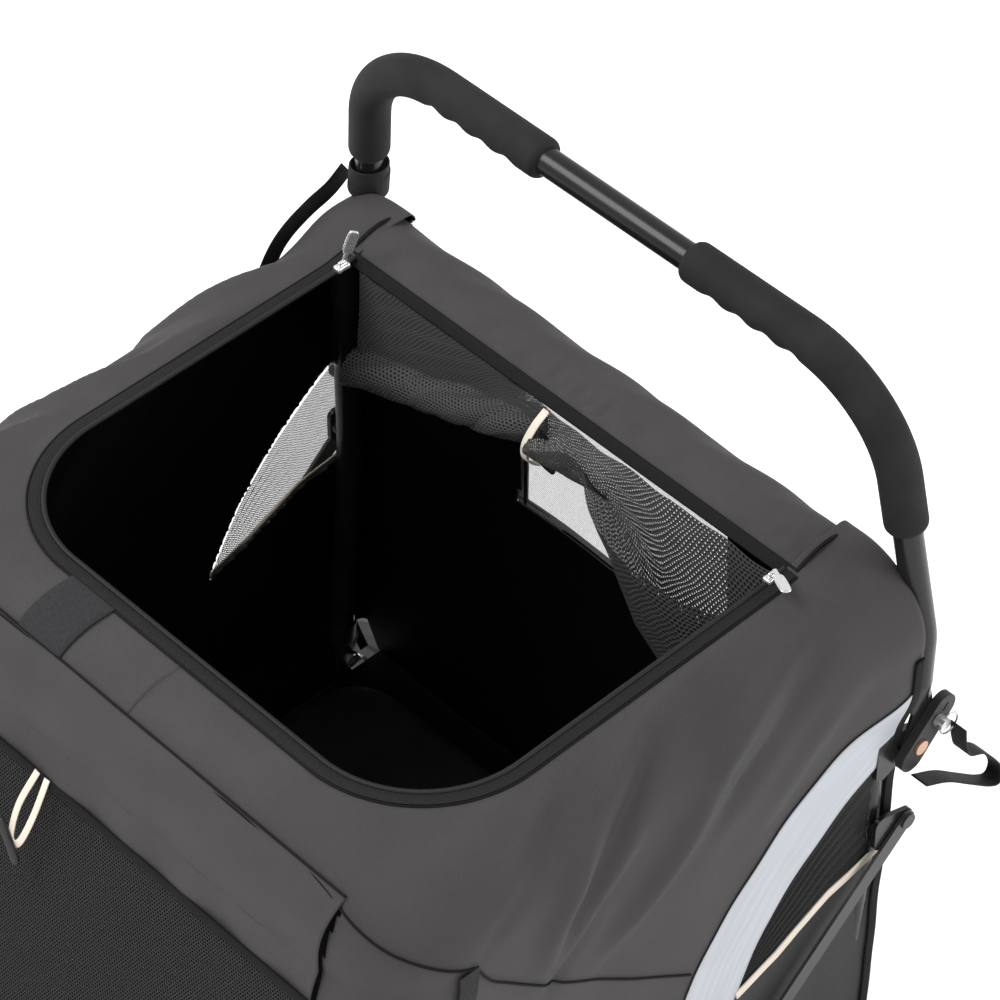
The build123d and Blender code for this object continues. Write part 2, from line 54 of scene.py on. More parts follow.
# ---- camera, floor and light ------------------------------------------------------
# The stroller stands on a plain white floor under a large soft box. The camera looks
# down over its front left corner, into the open hatch.
scene.view_settings.view_transform = "Standard"
CAMERA_AT = (1.81435, -1.50957, 3.35508)
CAMERA_TURN, CAMERA_DOWN = math.radians(46.24), math.radians(45.38)
eye = bpy.data.objects.new("camera", bpy.data.cameras.new("camera"))
eye.data.lens, eye.data.sensor_width = 155.03, 36.0
eye.location = CAMERA_AT
eye.rotation_euler = (math.pi / 2 - CAMERA_DOWN, 0.0, CAMERA_TURN)
scene.collection.objects.link(eye)
scene.camera = eye

for label, place, target, size, power in (
    ("key", (-1.6, -1.2, 3.4), (0.0, 0.0, 0.8), 2.2, 95.0),
    ("rim", (2.4, 2.2, 2.6), (0.0, 0.2, 0.8), 1.6, 52.0),
    ("front", (1.4, -2.8, 1.7), (0.1, 0.0, 0.7), 1.6, 16.0),
):
    lamp = bpy.data.objects.new(label, bpy.data.lights.new(label, "AREA"))
    lamp.data.shape, lamp.data.size, lamp.data.energy = "DISK", size, power
    lamp.location = place
    toward = np.array(target) - np.array(place)
    flat_run = math.hypot(toward[0], toward[1])
    lamp.rotation_euler = (math.atan2(flat_run, -toward[2]), 0.0, math.atan2(-toward[0], toward[1]))
    scene.collection.objects.link(lamp)

sky = bpy.data.worlds.new("studio")
sky.use_nodes = True
sky.node_tree.nodes["Background"].inputs["Color"].default_value = (1.0, 1.0, 1.0, 1.0)
sky.node_tree.nodes["Background"].inputs["Strength"].default_value = 0.85
scene.world = sky

FLOOR_REACH = 6.0
floor_mesh = bpy.data.meshes.new("floor")
edges = [(-FLOOR_REACH, -FLOOR_REACH, 0), (FLOOR_REACH, -FLOOR_REACH, 0)]
edges += [(FLOOR_REACH, FLOOR_REACH, 0), (-FLOOR_REACH, FLOOR_REACH, 0)]
floor_mesh.from_pydata(edges, [], [(0, 1, 2, 3)])
floor = bpy.data.objects.new("floor", floor_mesh)
floor_mesh.materials.append(bpy.data.materials.new("pale_floor"))
floor_mesh.materials[0].use_nodes = True
coat = floor_mesh.materials[0].node_tree.nodes["Principled BSDF"].inputs
coat["Base Color"].default_value = coat["Emission Color"].default_value = (0.9, 0.9, 0.9, 1.0)
coat["Roughness"].default_value, coat["Emission Strength"].default_value = 0.9, 0.3
scene.collection.objects.link(floor)


# ---- painted frame tubes -----------------------------------------------------------
# Round 25 mm steel tube, bent and powder coated satin black: the base, the rear hoop
# and the push handle, with the brackets that were welded on before coating.
class Wire:
    """One value in a material. Sums on it add Math nodes, so a mask reads as a formula."""

    def __init__(self, finish, socket):
        self.finish, self.socket = finish, socket

    def sum(self, operation, first, second=0.0):
        return self.finish.node("ShaderNodeMath", {"operation": operation}, {0: first, 1: second})

    def __add__(self, other):
        return self.sum("ADD", self, other)

    __radd__ = __add__

    def __sub__(self, other):
        return self.sum("SUBTRACT", self, other)

    def __mul__(self, other):
        return self.sum("MULTIPLY", self, other)

    __rmul__ = __mul__

    def __truediv__(self, other):
        return self.sum("DIVIDE", self, other)

    def __lt__(self, other):
        return self.sum("LESS_THAN", self, other)


class Finish:
    """A material that is being drawn up: node() adds any node and returns its first output."""

    def __init__(self, name):
        self.material = bpy.data.materials.new(name)
        self.material.use_nodes = True
        self.tree = self.material.node_tree
        self.surface = self.tree.nodes["Principled BSDF"]

    def node(self, kind, settings, inputs, output=0):
        made = self.tree.nodes.new(kind)
        for key, value in settings.items():
            setattr(made, key, value)
        self.fill(made, inputs)
        return Wire(self, made.outputs[output])

    def fill(self, made, inputs):
        for key, value in inputs.items():
            if isinstance(value, Wire):
                self.tree.links.new(value.socket, made.inputs[key])
            else:
                made.inputs[key].default_value = value

    def place(self, output="Object"):
        return self.node("ShaderNodeTexCoord", {}, {}, output)

    def noise(self, where, scale, detail=2.0):
        return self.node("ShaderNodeTexNoise", {}, {"Vector": where, "Scale": scale, "Detail": detail})

    def blend(self, share, first, second):
        """Mix of two colours; share 0 is the first."""
        return self.node("ShaderNodeMix", {"data_type": "RGBA"}, {0: share, 6: first, 7: second}, 2)

    def remap(self, value, low, high, new_low, new_high):
        """Value from low..high carried to new_low..new_high, held at the ends."""
        return self.node(
            "ShaderNodeMapRange", {}, {0: value, 1: low, 2: high, 3: new_low, 4: new_high}
        )

    def bump(self, height, distance, strength=1.0):
        """Normal of a relief whose height, from 0 to 1, stands for that distance in metres."""
        return self.node(
            "ShaderNodeBump", {}, {"Strength": strength, "Distance": distance, "Height": height}
        )

    def done(self, **inputs):
        """Sets the surface's sockets, named with _ for a space, and returns the material."""
        self.fill(self.surface, {key.replace("_", " "): value for key, value in inputs.items()})
        return self.material


def grey(level, tint=(1.0, 1.0, 1.0)):
    return tuple(level * part for part in tint) + (1.0,)


def painted_tube():
    """Satin powder coat: fine orange peel, and a little dust that dulls the gloss."""
    paint = Finish("satin_black_powder_coat")
    where = paint.place()
    peel = paint.noise(where, 900.0)
    dust = paint.noise(where, 14.0, 4.0)
    return paint.done(
        Base_Color=paint.blend(paint.remap(dust, 0.3, 0.75, 0.0, 1.0), grey(0.006), grey(0.012)),
        Roughness=paint.remap(dust, 0.3, 0.75, 0.2, 0.32),
        Normal=paint.bump(peel, 0.00012, 0.5),
        Specular_IOR_Level=0.28,
    )


def dress(material, *nodes):
    """Gives CAD nodes their finish."""
    for node in nodes:
        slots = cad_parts[node].data.materials
        slots.clear()
        slots.append(material)


tube_paint = painted_tube()
dress(tube_paint, "base_tube", "rear_cross_tube", "caster_cross_tube", "axle_tube", "fold_brackets")
dress(tube_paint, "hoop_tube", "handle_tube", "brake_rod", "post_bracket_left", "post_bracket_right")


# ---- bolts, rivets and pins ----------------------------------------------------------
# Zinc plated bolts, the quick-release pins with their split rings, and the two
# copper-plated rivets on which the handle turns.
def plated(name, colour, roughness):
    """Bright plating with the faint brush marks of tumbling."""
    plate = Finish(name)
    scuff = plate.noise(plate.place(), 700.0, 3.0)
    return plate.done(
        Base_Color=plate.blend(plate.remap(scuff, 0.35, 0.7, 0.0, 0.3), colour, grey(0.35)),
        Metallic=0.8,
        Roughness=plate.remap(scuff, 0.3, 0.7, roughness, roughness + 0.06),
        Normal=plate.bump(scuff, 0.00005, 0.6),
    )


zinc = plated("zinc_plate", grey(0.72), 0.2)
copper = plated("copper_plate", (0.62, 0.36, 0.22, 1.0), 0.28)
dress(zinc, "frame_bolts", "fold_bolts", "lock_pin_left", "lock_pin_right")
dress(copper, "handle_rivets")


# ---- moulded fittings -----------------------------------------------------------------
# Glass-filled nylon, dark grey with the fine grain of a spark-eroded mould: knuckles,
# brackets, caster sockets and forks, rail shoes, caps, link plates and the pedal.
def moulded(name, level):
    """Fine even grain, with wear that polishes the high spots a little."""
    nylon = Finish(name)
    where = nylon.place()
    grain = nylon.noise(where, 1600.0, 3.0)
    cloud = nylon.noise(where, 22.0, 4.0)
    return nylon.done(
        Base_Color=nylon.blend(nylon.remap(cloud, 0.3, 0.7, 0.0, 1.0), grey(level), grey(level * 1.5)),
        Roughness=nylon.remap(cloud, 0.3, 0.7, 0.42, 0.58),
        Normal=nylon.bump(grain, 0.0002, 0.6),
        Specular_IOR_Level=0.3,
    )


nylon_black = moulded("black_nylon", 0.008)
nylon_grey = moulded("dark_grey_nylon", 0.014)
dress(nylon_black, "rail_caps", "axle_brackets", "caster_housings", "hoop_feet", "brake_pedal")
for side, hand in SIDES:
    dress(nylon_black, f"rail_shoe_{side}", f"caster_fork_{side}")
    dress(nylon_grey, f"link_plate_{side}")


# ---- folding stays ---------------------------------------------------------------------
# Flat anodised bars that lock the hoop upright, drawn along their length.
def anodised():
    """Satin anodising with drawing lines that run along the bar."""
    bar = Finish("anodised_bar")
    drawn = {"Vector": bar.place(), "Scale": (1.0, 40.0, 40.0), "Rotation": (0.727, 0, 0)}
    stretched = bar.node("ShaderNodeMapping", {}, drawn)
    lines = bar.noise(stretched, 12.0, 3.0)
    return bar.done(
        Base_Color=bar.blend(lines, grey(0.035), grey(0.06)),
        Metallic=0.6,
        Roughness=bar.remap(lines, 0.3, 0.7, 0.34, 0.46),
    )


stay_metal = anodised()
dress(stay_metal, "stay_left", "stay_right")


# ---- wheels -----------------------------------------------------------------------------
# Foam-filled rubber tyres on nylon rims. The rears run on the fixed axle, the fronts
# in swivel forks.
def rubber():
    """Dull black rubber, dusty in its pores."""
    tyre = Finish("black_rubber")
    where = tyre.place()
    pores = tyre.noise(where, 420.0, 4.0)
    dust = tyre.noise(where, 9.0, 5.0)
    return tyre.done(
        Base_Color=tyre.blend(tyre.remap(dust, 0.4, 0.75, 0.0, 1.0), grey(0.012), grey(0.035)),
        Roughness=tyre.remap(dust, 0.3, 0.7, 0.6, 0.82),
        Normal=tyre.bump(pores, 0.0004, 0.5),
    )


tyre_rubber = rubber()
for side, hand in SIDES:
    dress(tyre_rubber, f"rear_tyre_{side}", f"caster_wheel_{side}")
    dress(nylon_black, f"rear_rim_{side}")


# ---- foam grips ----------------------------------------------------------------------------
# Two sleeves of closed-cell foam, pushed over the handle's corners. The ends are
# rounded, and four finger grooves are moulded into the under side of the cross bar.
def surface(name, points, keep=None, spread=None, closed=False):
    """Mesh from a grid of points (rows, columns, 3): each four neighbours make a face, whose
    outside is to the row direction crossed with the column direction. keep says which faces
    stay, spread gives the UV map in metres, and closed joins the last column to the first."""
    rows, columns = points.shape[:2]
    r, c = np.meshgrid(np.arange(rows - 1), np.arange(columns - (not closed)), indexing="ij")
    corner_rows = np.stack([r, r + 1, r + 1, r], axis=-1)
    corner_columns = np.stack([c, c, c + 1, c + 1], axis=-1)
    if keep is not None:
        corner_rows, corner_columns = corner_rows[keep], corner_columns[keep]
    corner_rows, corner_columns = corner_rows.reshape(-1, 4), corner_columns.reshape(-1, 4)
    faces = corner_rows * columns + corner_columns % columns
    used, faces = np.unique(faces, return_inverse=True)
    faces = faces.reshape(-1, 4)
    mesh = bpy.data.meshes.new(name)
    mesh.vertices.add(len(used))
    mesh.vertices.foreach_set("co", points.reshape(-1, 3)[used].astype(np.float32).ravel())
    mesh.loops.add(faces.size)
    mesh.loops.foreach_set("vertex_index", faces.astype(np.int32).ravel())
    mesh.polygons.add(len(faces))
    mesh.polygons.foreach_set("loop_start", np.arange(0, faces.size, 4, dtype=np.int32))
    mesh.polygons.foreach_set("use_smooth", np.ones(len(faces), bool))
    if spread is not None:
        layer = mesh.uv_layers.new(name="UVMap")
        flat = spread[corner_rows, corner_columns]
        layer.data.foreach_set("uv", flat.astype(np.float32).ravel())
    mesh.update(calc_edges=True)
    thing = bpy.data.objects.new(name, mesh)
    scene.collection.objects.link(thing)
    return thing


def mend(thing):
    """Merges points that fall together, as at a pole or a closed seam."""
    bpy.context.view_layer.objects.active = thing
    bpy.ops.object.select_all(action="DESELECT")
    thing.select_set(True)
    bpy.ops.object.mode_set(mode="EDIT")
    bpy.ops.mesh.select_all(action="SELECT")
    bpy.ops.mesh.remove_doubles(threshold=0.00001)
    bpy.ops.object.mode_set(mode="OBJECT")
    return thing


def paint(thing, *materials):
    for material in materials:
        thing.data.materials.append(material)
    return thing


def bent(points, bend, step):
    """Points every step metres along straight runs joined by arcs of radius bend."""
    points = [np.array(p, float) for p in points]
    line = [points[0]]
    for before, corner, after in zip(points, points[1:], points[2:]):
        u, w = corner - before, after - corner
        u, w = u / np.linalg.norm(u), w / np.linalg.norm(w)
        turn = math.acos(float(u @ w))
        start = corner - u * bend * math.tan(turn / 2)
        inward = w - u * math.cos(turn)
        inward /= np.linalg.norm(inward)
        angles = np.linspace(0, turn, max(2, int(turn * bend / step)))
        line += list(start + bend * (np.outer(np.sin(angles), u) + np.outer(1 - np.cos(angles), inward)))
    line = np.array(line + [points[-1]])
    return even(line, step)


def even(line, step):
    """The same line with its points evenly spaced, about step apart."""
    run = np.concatenate([[0], np.cumsum(np.linalg.norm(np.diff(line, axis=0), axis=1))])
    spots = np.linspace(0, run[-1], max(3, int(round(run[-1] / step)) + 1))
    return np.stack([np.interp(spots, run, line[:, axis]) for axis in range(3)], axis=1)


def length_along(line):
    return np.concatenate([[0], np.cumsum(np.linalg.norm(np.diff(line, axis=0), axis=1))])


def unit(vectors):
    return vectors / np.maximum(np.linalg.norm(vectors, axis=-1, keepdims=True), 1e-12)


def swept(line, section, up):
    """A section carried along a line. section is (..., columns, 2): across, then towards up,
    which is a vector or one vector for each point of the line."""
    ahead = unit(np.gradient(line, axis=0))
    across = unit(np.cross(ahead, up))
    over = np.cross(across, ahead)
    return (
        line[:, None]
        + section[..., 0:1] * across[:, None]
        + section[..., 1:2] * over[:, None]
    )


def circle(count):
    turns = np.linspace(0, 2 * np.pi, count, endpoint=False)
    return np.stack([np.cos(turns), np.sin(turns)], axis=-1)


HANDLE_Z = 1.050
HANDLE_Y = 0.360
HANDLE_HALF = 0.2947
HANDLE_BEND = 0.105
HANDLE_KNEE = (0.333, 0.384, 0.789)
GRIP_FOOT_Z = 0.909
GRIP_INNER_X = 0.082
GRIP_R = 0.0185
FOAM_ROUND = 0.007
FIRST_GROOVE, GROOVE_PITCH, GROOVE_DEPTH = 0.036, 0.029, 0.0032


def leg_point(z):
    """Point of the left handle leg's centre line at height z, above the knee."""
    share = (HANDLE_Z - z) / (HANDLE_Z - HANDLE_KNEE[2])
    return (
        HANDLE_HALF + share * (HANDLE_KNEE[0] - HANDLE_HALF),
        HANDLE_Y + share * (HANDLE_KNEE[1] - HANDLE_Y),
        z,
    )


def foam():
    """Closed-cell foam skin: fine pits and a soft, slightly dusty black."""
    skin = Finish("grip_foam")
    where = skin.place()
    cells = skin.node("ShaderNodeTexVoronoi", {}, {"Vector": where, "Scale": 1100.0})
    haze = skin.noise(where, 26.0, 4.0)
    return skin.done(
        Base_Color=skin.blend(skin.remap(haze, 0.35, 0.7, 0.0, 1.0), grey(0.010), grey(0.016)),
        Roughness=0.78,
        Normal=skin.bump(cells, 0.0004, 0.45),
        Specular_IOR_Level=0.22,
    )


def grip(side, hand):
    """Sleeve: a circle carried round the corner, drawn in at its ends by a quarter round and
    pressed in from below by a row of cosine dips, the finger grooves."""
    corner = (HANDLE_HALF, HANDLE_Y, HANDLE_Z)
    line = bent([leg_point(GRIP_FOOT_Z), corner, (GRIP_INNER_X, HANDLE_Y, HANDLE_Z)], HANDLE_BEND, 0.0022)
    run = length_along(line)
    end = np.minimum(run, run[-1] - run)
    dip = np.clip(1 - end / FOAM_ROUND, 0, 1)
    radius = GRIP_R - FOAM_ROUND * (1 - np.sqrt(np.clip(1 - dip**2, 0, 1))) * 0.8
    from_inner = run[-1] - run
    count = (from_inner - FIRST_GROOVE) / GROOVE_PITCH
    groove = np.where((count > -0.5) & (count < 3.5), 0.5 + 0.5 * np.cos(2 * np.pi * count), 0)
    ring = circle(48)
    below = np.clip(-ring[:, 1], 0, 1) ** 0.7
    # the cross bar's under side: the section's "over" axis points out of the corner
    section = ring[None] * (radius[:, None] - GROOVE_DEPTH * groove[:, None] * below[None])[..., None]
    line[:, 0] *= hand
    outward = unit(line - np.array([hand * (HANDLE_HALF - HANDLE_BEND), HANDLE_Y, HANDLE_Z - HANDLE_BEND]))
    outward[line[:, 0] * hand < HANDLE_HALF - HANDLE_BEND] = (0, 0, 1)
    outward[:, 1] = 0
    points = swept(line, section, unit(outward))
    inner = 0.0126 / GRIP_R
    caps = [line[i] + (points[i] - line[i]) * inner for i in (0, -1)]
    points = np.concatenate([caps[0][None], points, caps[1][None]])
    return surface(f"grip_foam_{side}", points if hand < 0 else points[::-1], closed=True)


foam_skin = foam()
for side, hand in SIDES:
    sleeve = paint(grip(side, hand), foam_skin)
    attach(sleeve, "handle")
    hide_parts(f"grip_{side}")


# ---- straps ---------------------------------------------------------------------------------
# Black polypropylene webbing: a tether that keeps each lock pin with the cabin, and the
# wrist strap looped round the right leg of the handle and sewn to the cabin's side.
WEB_THICK = 0.0016


def smooth(points, step):
    """Catmull-Rom curve through the points: a cubic on each span, whose slopes are half the
    chord between its neighbours."""
    p = np.array(points, float)
    p = np.concatenate([[2 * p[0] - p[1]], p, [2 * p[-1] - p[-2]]])
    t = np.linspace(0, 1, 24, endpoint=False)[:, None]
    spans = [
        0.5 * (2 * b + (c - a) * t + (2 * a - 5 * b + 4 * c - d) * t**2 + (3 * b - a - 3 * c + d) * t**3)
        for a, b, c, d in zip(p, p[1:], p[2:], p[3:])
    ]
    return even(np.concatenate(spans + [p[-2:-1]]), step)


def flat_section(width, thick, count=10):
    """Outline of a woven band: two flat faces with round edges."""
    turns = np.linspace(0, np.pi, count)
    edge = np.stack([width / 2 - thick / 2 + thick / 2 * np.sin(turns), thick / 2 * np.cos(turns)], -1)
    return np.concatenate([edge, -edge])


def band(name, line, wide, width, thick=WEB_THICK):
    """Band of the given width along a line. wide is the direction of its width, one vector or
    one for each point. The UV map runs across, then along, in metres."""
    ahead = unit(np.gradient(line, axis=0))
    section = flat_section(width, thick)
    points = swept(line, section[None], np.cross(np.broadcast_to(wide, line.shape), ahead))
    middle = points.mean(axis=1, keepdims=True)
    points = np.concatenate([np.broadcast_to(middle[:1], points[:1].shape), points,
                             np.broadcast_to(middle[-1:], points[:1].shape)])
    run = length_along(line)
    run = np.concatenate([run[:1], run, run[-1:]])
    across = np.append(section[:, 0], section[0, 0])
    spread = np.stack(np.broadcast_arrays(across[None], run[:, None]), -1)
    return mend(surface(name, points, spread=spread, closed=True))


def webbing(name, level, tint=(1.0, 1.0, 1.0)):
    """Plain-woven band: chevron ribs along its length, on the UV map, with fuzzy edges."""
    weave = Finish(name)
    flat = weave.place("UV")
    u = weave.node("ShaderNodeSeparateXYZ", {}, {"Vector": flat}, "X")
    v = weave.node("ShaderNodeSeparateXYZ", {}, {"Vector": flat}, "Y")
    rib = weave.node("ShaderNodeMath", {"operation": "PINGPONG"}, {0: u, 1: 0.0011}) * 900.0
    pick = weave.node("ShaderNodeMath", {"operation": "PINGPONG"}, {0: v + u * 0.6, 1: 0.0009}) * 1100.0
    thread = rib * 0.5 + pick * 0.5
    lint = weave.noise(weave.place(), 700.0, 2.0)
    return weave.done(
        Base_Color=weave.blend(thread * 0.7 + lint * 0.3, grey(level * 0.55, tint), grey(level * 1.5, tint)),
        Roughness=weave.remap(lint, 0.3, 0.7, 0.55, 0.8),
        Normal=weave.bump(thread, 0.0005, 0.8),
        Specular_IOR_Level=0.25,
    )


black_web = webbing("black_webbing", 0.010)
TETHER_X, TETHER_W = 0.361, 0.018
TETHER_YZ = [(0.409, 0.680), (0.412, 0.660), (0.419, 0.642), (0.438, 0.629), (0.457, 0.604), (0.467, 0.584),
             (0.464, 0.571), (0.450, 0.578), (0.421, 0.604), (0.393, 0.629), (0.364, 0.647)]
for side, hand in SIDES:
    route = smooth([(hand * TETHER_X, y, z) for y, z in TETHER_YZ], 0.002)
    tether = paint(band(f"pin_tether_web_{side}", route, (1.0, 0.0, 0.0), TETHER_W), black_web)
    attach(tether, "handle")
    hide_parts(f"pin_tether_{side}")

STRAP_X, STRAP_W = -0.3475, 0.021
LOOP_Z, LOOP_R, LOOP_TURNS = 0.876, 0.0170, 2.1
STRAP_YZ = [(0.374, 0.868), (0.354, 0.856), (0.329, 0.849), (0.304, 0.838), (0.286, 0.822), (0.269, 0.792),
            (0.262, 0.772)]
wind = np.linspace(0, LOOP_TURNS * 2 * np.pi, 90)
leg = np.array(leg_point(LOOP_Z)) * (-1, 1, 1)
loop = leg + np.stack([
    -(LOOP_R + 0.0004 * wind / 6) * np.cos(wind),
    (LOOP_R + 0.0004 * wind / 6) * np.sin(wind),
    0.005 * np.sin(wind * 0.5),
], axis=-1)
tail = smooth([(STRAP_X, y, z) for y, z in STRAP_YZ], 0.002)
ahead = unit(np.gradient(tail, axis=0))
parts = [
    band("wrist_strap_loop", loop, (0.0, 0.1, 1.0), STRAP_W),
    band("wrist_strap_tail", tail, np.cross((1.0, 0.0, 0.0), ahead), STRAP_W),
]
for part in parts:
    paint(part, black_web)
    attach(part, "handle")
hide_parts("wrist_strap")


# ---- floor board and cushion --------------------------------------------------------------------
# Painted board on the cross tubes, and a thin quilted pad on it: foam in a charcoal
# cover, sewn in squares, with a piped edge.
board_paint = moulded("board_laminate", 0.03)
dress(board_paint, "floor_board")


def twill(name, level, tint=(1.09, 0.965, 1.0), patch=None, gloss=0.3):
    """Polyester twill on the UV map: fine diagonal ribs, thread-sized mottling and slow
    clouds of shade. patch draws a second shade where a mask says."""
    cloth = Finish(name)
    flat, where = cloth.place("UV"), cloth.place()
    u = cloth.node("ShaderNodeSeparateXYZ", {}, {"Vector": flat}, "X")
    v = cloth.node("ShaderNodeSeparateXYZ", {}, {"Vector": flat}, "Y")
    rib = cloth.node("ShaderNodeMath", {"operation": "PINGPONG"}, {0: u + v, 1: 0.0006}) * 1600.0
    slub = cloth.noise(where, 620.0, 2.0)
    fleck = cloth.noise(where, 1400.0, 1.0)
    cloud = cloth.noise(where, 11.0, 3.0)
    shade = cloth.remap(slub * 0.55 + fleck * 0.3 + rib * 0.15, 0.3, 0.7, 0.0, 1.0)
    shade = shade * 0.75 + cloth.remap(cloud, 0.3, 0.7, 0.0, 0.25)
    colour = cloth.blend(shade, grey(level * 0.55, tint), grey(level * 1.5, tint))
    if patch:
        colour = patch(cloth, where, colour)
    return cloth.done(
        Base_Color=colour,
        Roughness=cloth.remap(slub, 0.3, 0.7, 0.62, 0.78),
        Normal=cloth.bump(rib * 0.3 + slub * 0.4 + fleck * 0.3, 0.0007, 0.9),
        Specular_IOR_Level=gloss,
    )


pad_low, pad_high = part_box("cushion")
QUILT = 0.098
pad_cloth = twill("charcoal_quilted_cover", 0.014, gloss=0.1)


def pillow():
    """Pad as a disc of rings: from the middle of the top out to the edge and back in below.
    Each ring is a rounded rectangle. The top is crowned, and sinks along the quilting."""
    turns = np.linspace(0, 2 * np.pi, 220, endpoint=False)
    power = 0.16
    shape_x = np.sign(np.cos(turns)) * np.abs(np.cos(turns)) ** power
    shape_y = np.sign(np.sin(turns)) * np.abs(np.sin(turns)) ** power
    size = np.maximum(np.abs(shape_x), np.abs(shape_y))
    half = np.array([(pad_high.x - pad_low.x) / 2, (pad_high.y - pad_low.y) / 2])
    middle = np.array([0.0, (pad_high.y + pad_low.y) / 2])
    reach = np.concatenate([np.linspace(0, 0.94, 70), 0.94 + 0.06 * np.sin(np.linspace(0.1, np.pi - 0.1, 16)),
                            np.linspace(0.94, 0, 24)])
    top = np.concatenate([np.ones(70), 0.5 + 0.5 * np.cos(np.linspace(0.1, np.pi - 0.1, 16)), np.zeros(24)])
    x = middle[0] + reach[:, None] * half[0] * (shape_x / size * size)[None]
    y = middle[1] + reach[:, None] * half[1] * (shape_y / size * size)[None]
    z = pad_low.z + top[:, None] * (pad_high.z - pad_low.z - 0.002) + 0 * x
    edge = np.clip(1 - reach, 0, 1)[:, None]
    channel = np.minimum(*[np.abs((value + QUILT / 2) % QUILT - QUILT / 2) for value in (x, y)])
    puff = 1 - np.exp(-((channel / 0.012) ** 2))
    z += (top[:, None] > 0.99) * (np.minimum(edge * 6, 1) * (0.004 * puff - 0.001))
    return mend(surface("cushion_cover", np.stack([x, y, z], -1), closed=True, spread=np.stack(
        [np.pad(x, ((0, 0), (0, 1)), mode="wrap"), np.pad(y, ((0, 0), (0, 1)), mode="wrap")], -1)))


cover = paint(pillow(), pad_cloth)
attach(cover, "chassis")
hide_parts("cushion")


# ---- cabin shell --------------------------------------------------------------------------------
# Charcoal polyester twill, cut in a left and a right half that each run from the hatch's
# edge over a soft shoulder and down to the hem, and round the front corner. The lining
# is black. Long folds fall from the rear corner of the roof, where the cloth is pulled.
wall_low, wall_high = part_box("side_panel_left")
HALF, REAR, TOP, HEM = wall_high.x, wall_high.y, wall_high.z, wall_low.z
SHOULDER = 0.065
CORNER = 0.085
FRONT = -0.200
CHIN_Z, TOE_Y, TOE_Z = 0.790, -0.436, 0.296
FLARE_Z, FLARE_IN = 0.345, 0.036
FOOT_REAR = 0.345
HATCH_HALF, HATCH_BEND, HATCH_FRONT = 0.256, 0.108, -0.104
NOSE_X, BEND_Y = HATCH_HALF - HATCH_BEND, HATCH_FRONT + HATCH_BEND
REAR_SWELL = 0.013
CURL, CURL_R = 0.05, 0.011
CLOTH_THICK = 0.0014
FOLD_LIFT, WAIST_SAG = 1.9, 0.006
STRIP_CENTRE = (0.496, 0.358)
STRIP_OUTER, STRIP_INNER = 0.420, 0.346
PIPING_Y = (0.180, 0.228, 0.252, 0.290, 0.361)
PIPING_Z = (0.497, 0.511, 0.523, 0.538, 0.549)
# each fold: start, middle and end as (y, way down from the roof's edge), width, height
FOLDS = (
    ((0.285, 0.030), (0.190, 0.055), (0.130, 0.095), 0.013, 0.0055),
    ((0.150, 0.085), (0.090, 0.160), (0.010, 0.215), 0.015, 0.0060),
    ((0.300, 0.045), (0.215, 0.085), (0.120, 0.175), 0.014, -0.0045),
    ((0.255, -0.005), (0.120, 0.000), (0.010, 0.065), 0.013, 0.0040),
    ((0.030, 0.045), (-0.040, 0.100), (-0.050, 0.180), 0.013, 0.0055),
    ((0.150, 0.014), (0.050, 0.045), (-0.025, 0.150), 0.012, -0.0045),
    ((0.065, 0.075), (0.010, 0.120), (-0.040, 0.195), 0.013, 0.0045),
    ((0.040, 0.110), (-0.020, 0.170), (-0.045, 0.215), 0.010, -0.0035),
    ((0.010, 0.015), (-0.045, 0.045), (-0.100, 0.085), 0.012, 0.0045),
    ((0.010, 0.025), (-0.060, 0.055), (-0.112, 0.098), 0.010, -0.0035),
    ((0.310, 0.090), (0.260, 0.120), (0.190, 0.210), 0.018, 0.0035),
)


def ease(x):
    x = np.clip(x, 0, 1)
    return x * x * (3 - 2 * x)


def front_at(z):
    """Where the front wall stands: upright under the roof's edge, then sloping out to the toe."""
    return FRONT - (FRONT - TOE_Y) / (CHIN_Z - TOE_Z) * np.clip(CHIN_Z - z, 0, None)


def rear_at(z):
    """The rear edge, which comes forward towards the foot."""
    return np.interp(z, [0.325, 0.575], [FOOT_REAR, REAR])


def folds_at(y, girth):
    """Height of the cloth's folds: each is a bell across a bent line, fading at its ends."""
    total = 0.0008 * np.sin(23 * y + 31 * girth) * np.sin(17 * girth - 11 * y + 1.0)
    total += 0.0006 * np.sin(61 * y - 37 * girth + 2.0) * np.sin(29 * y + 47 * girth)
    t = np.linspace(0, 1, 40)
    for start, middle, end, width, height in FOLDS:
        line = [(1 - t) ** 2 * a + 2 * t * (1 - t) * b + t * t * c for a, b, c in zip(start, middle, end)]
        gap = (y[..., None] - line[0]) ** 2 + (girth[..., None] - line[1]) ** 2
        near = np.clip(t[gap.argmin(axis=-1)], 0.03, 0.97)
        bell = np.exp(-gap.min(axis=-1) / width**2)
        total += FOLD_LIFT * height * bell * np.sin(np.pi * near) ** 0.7
    return total


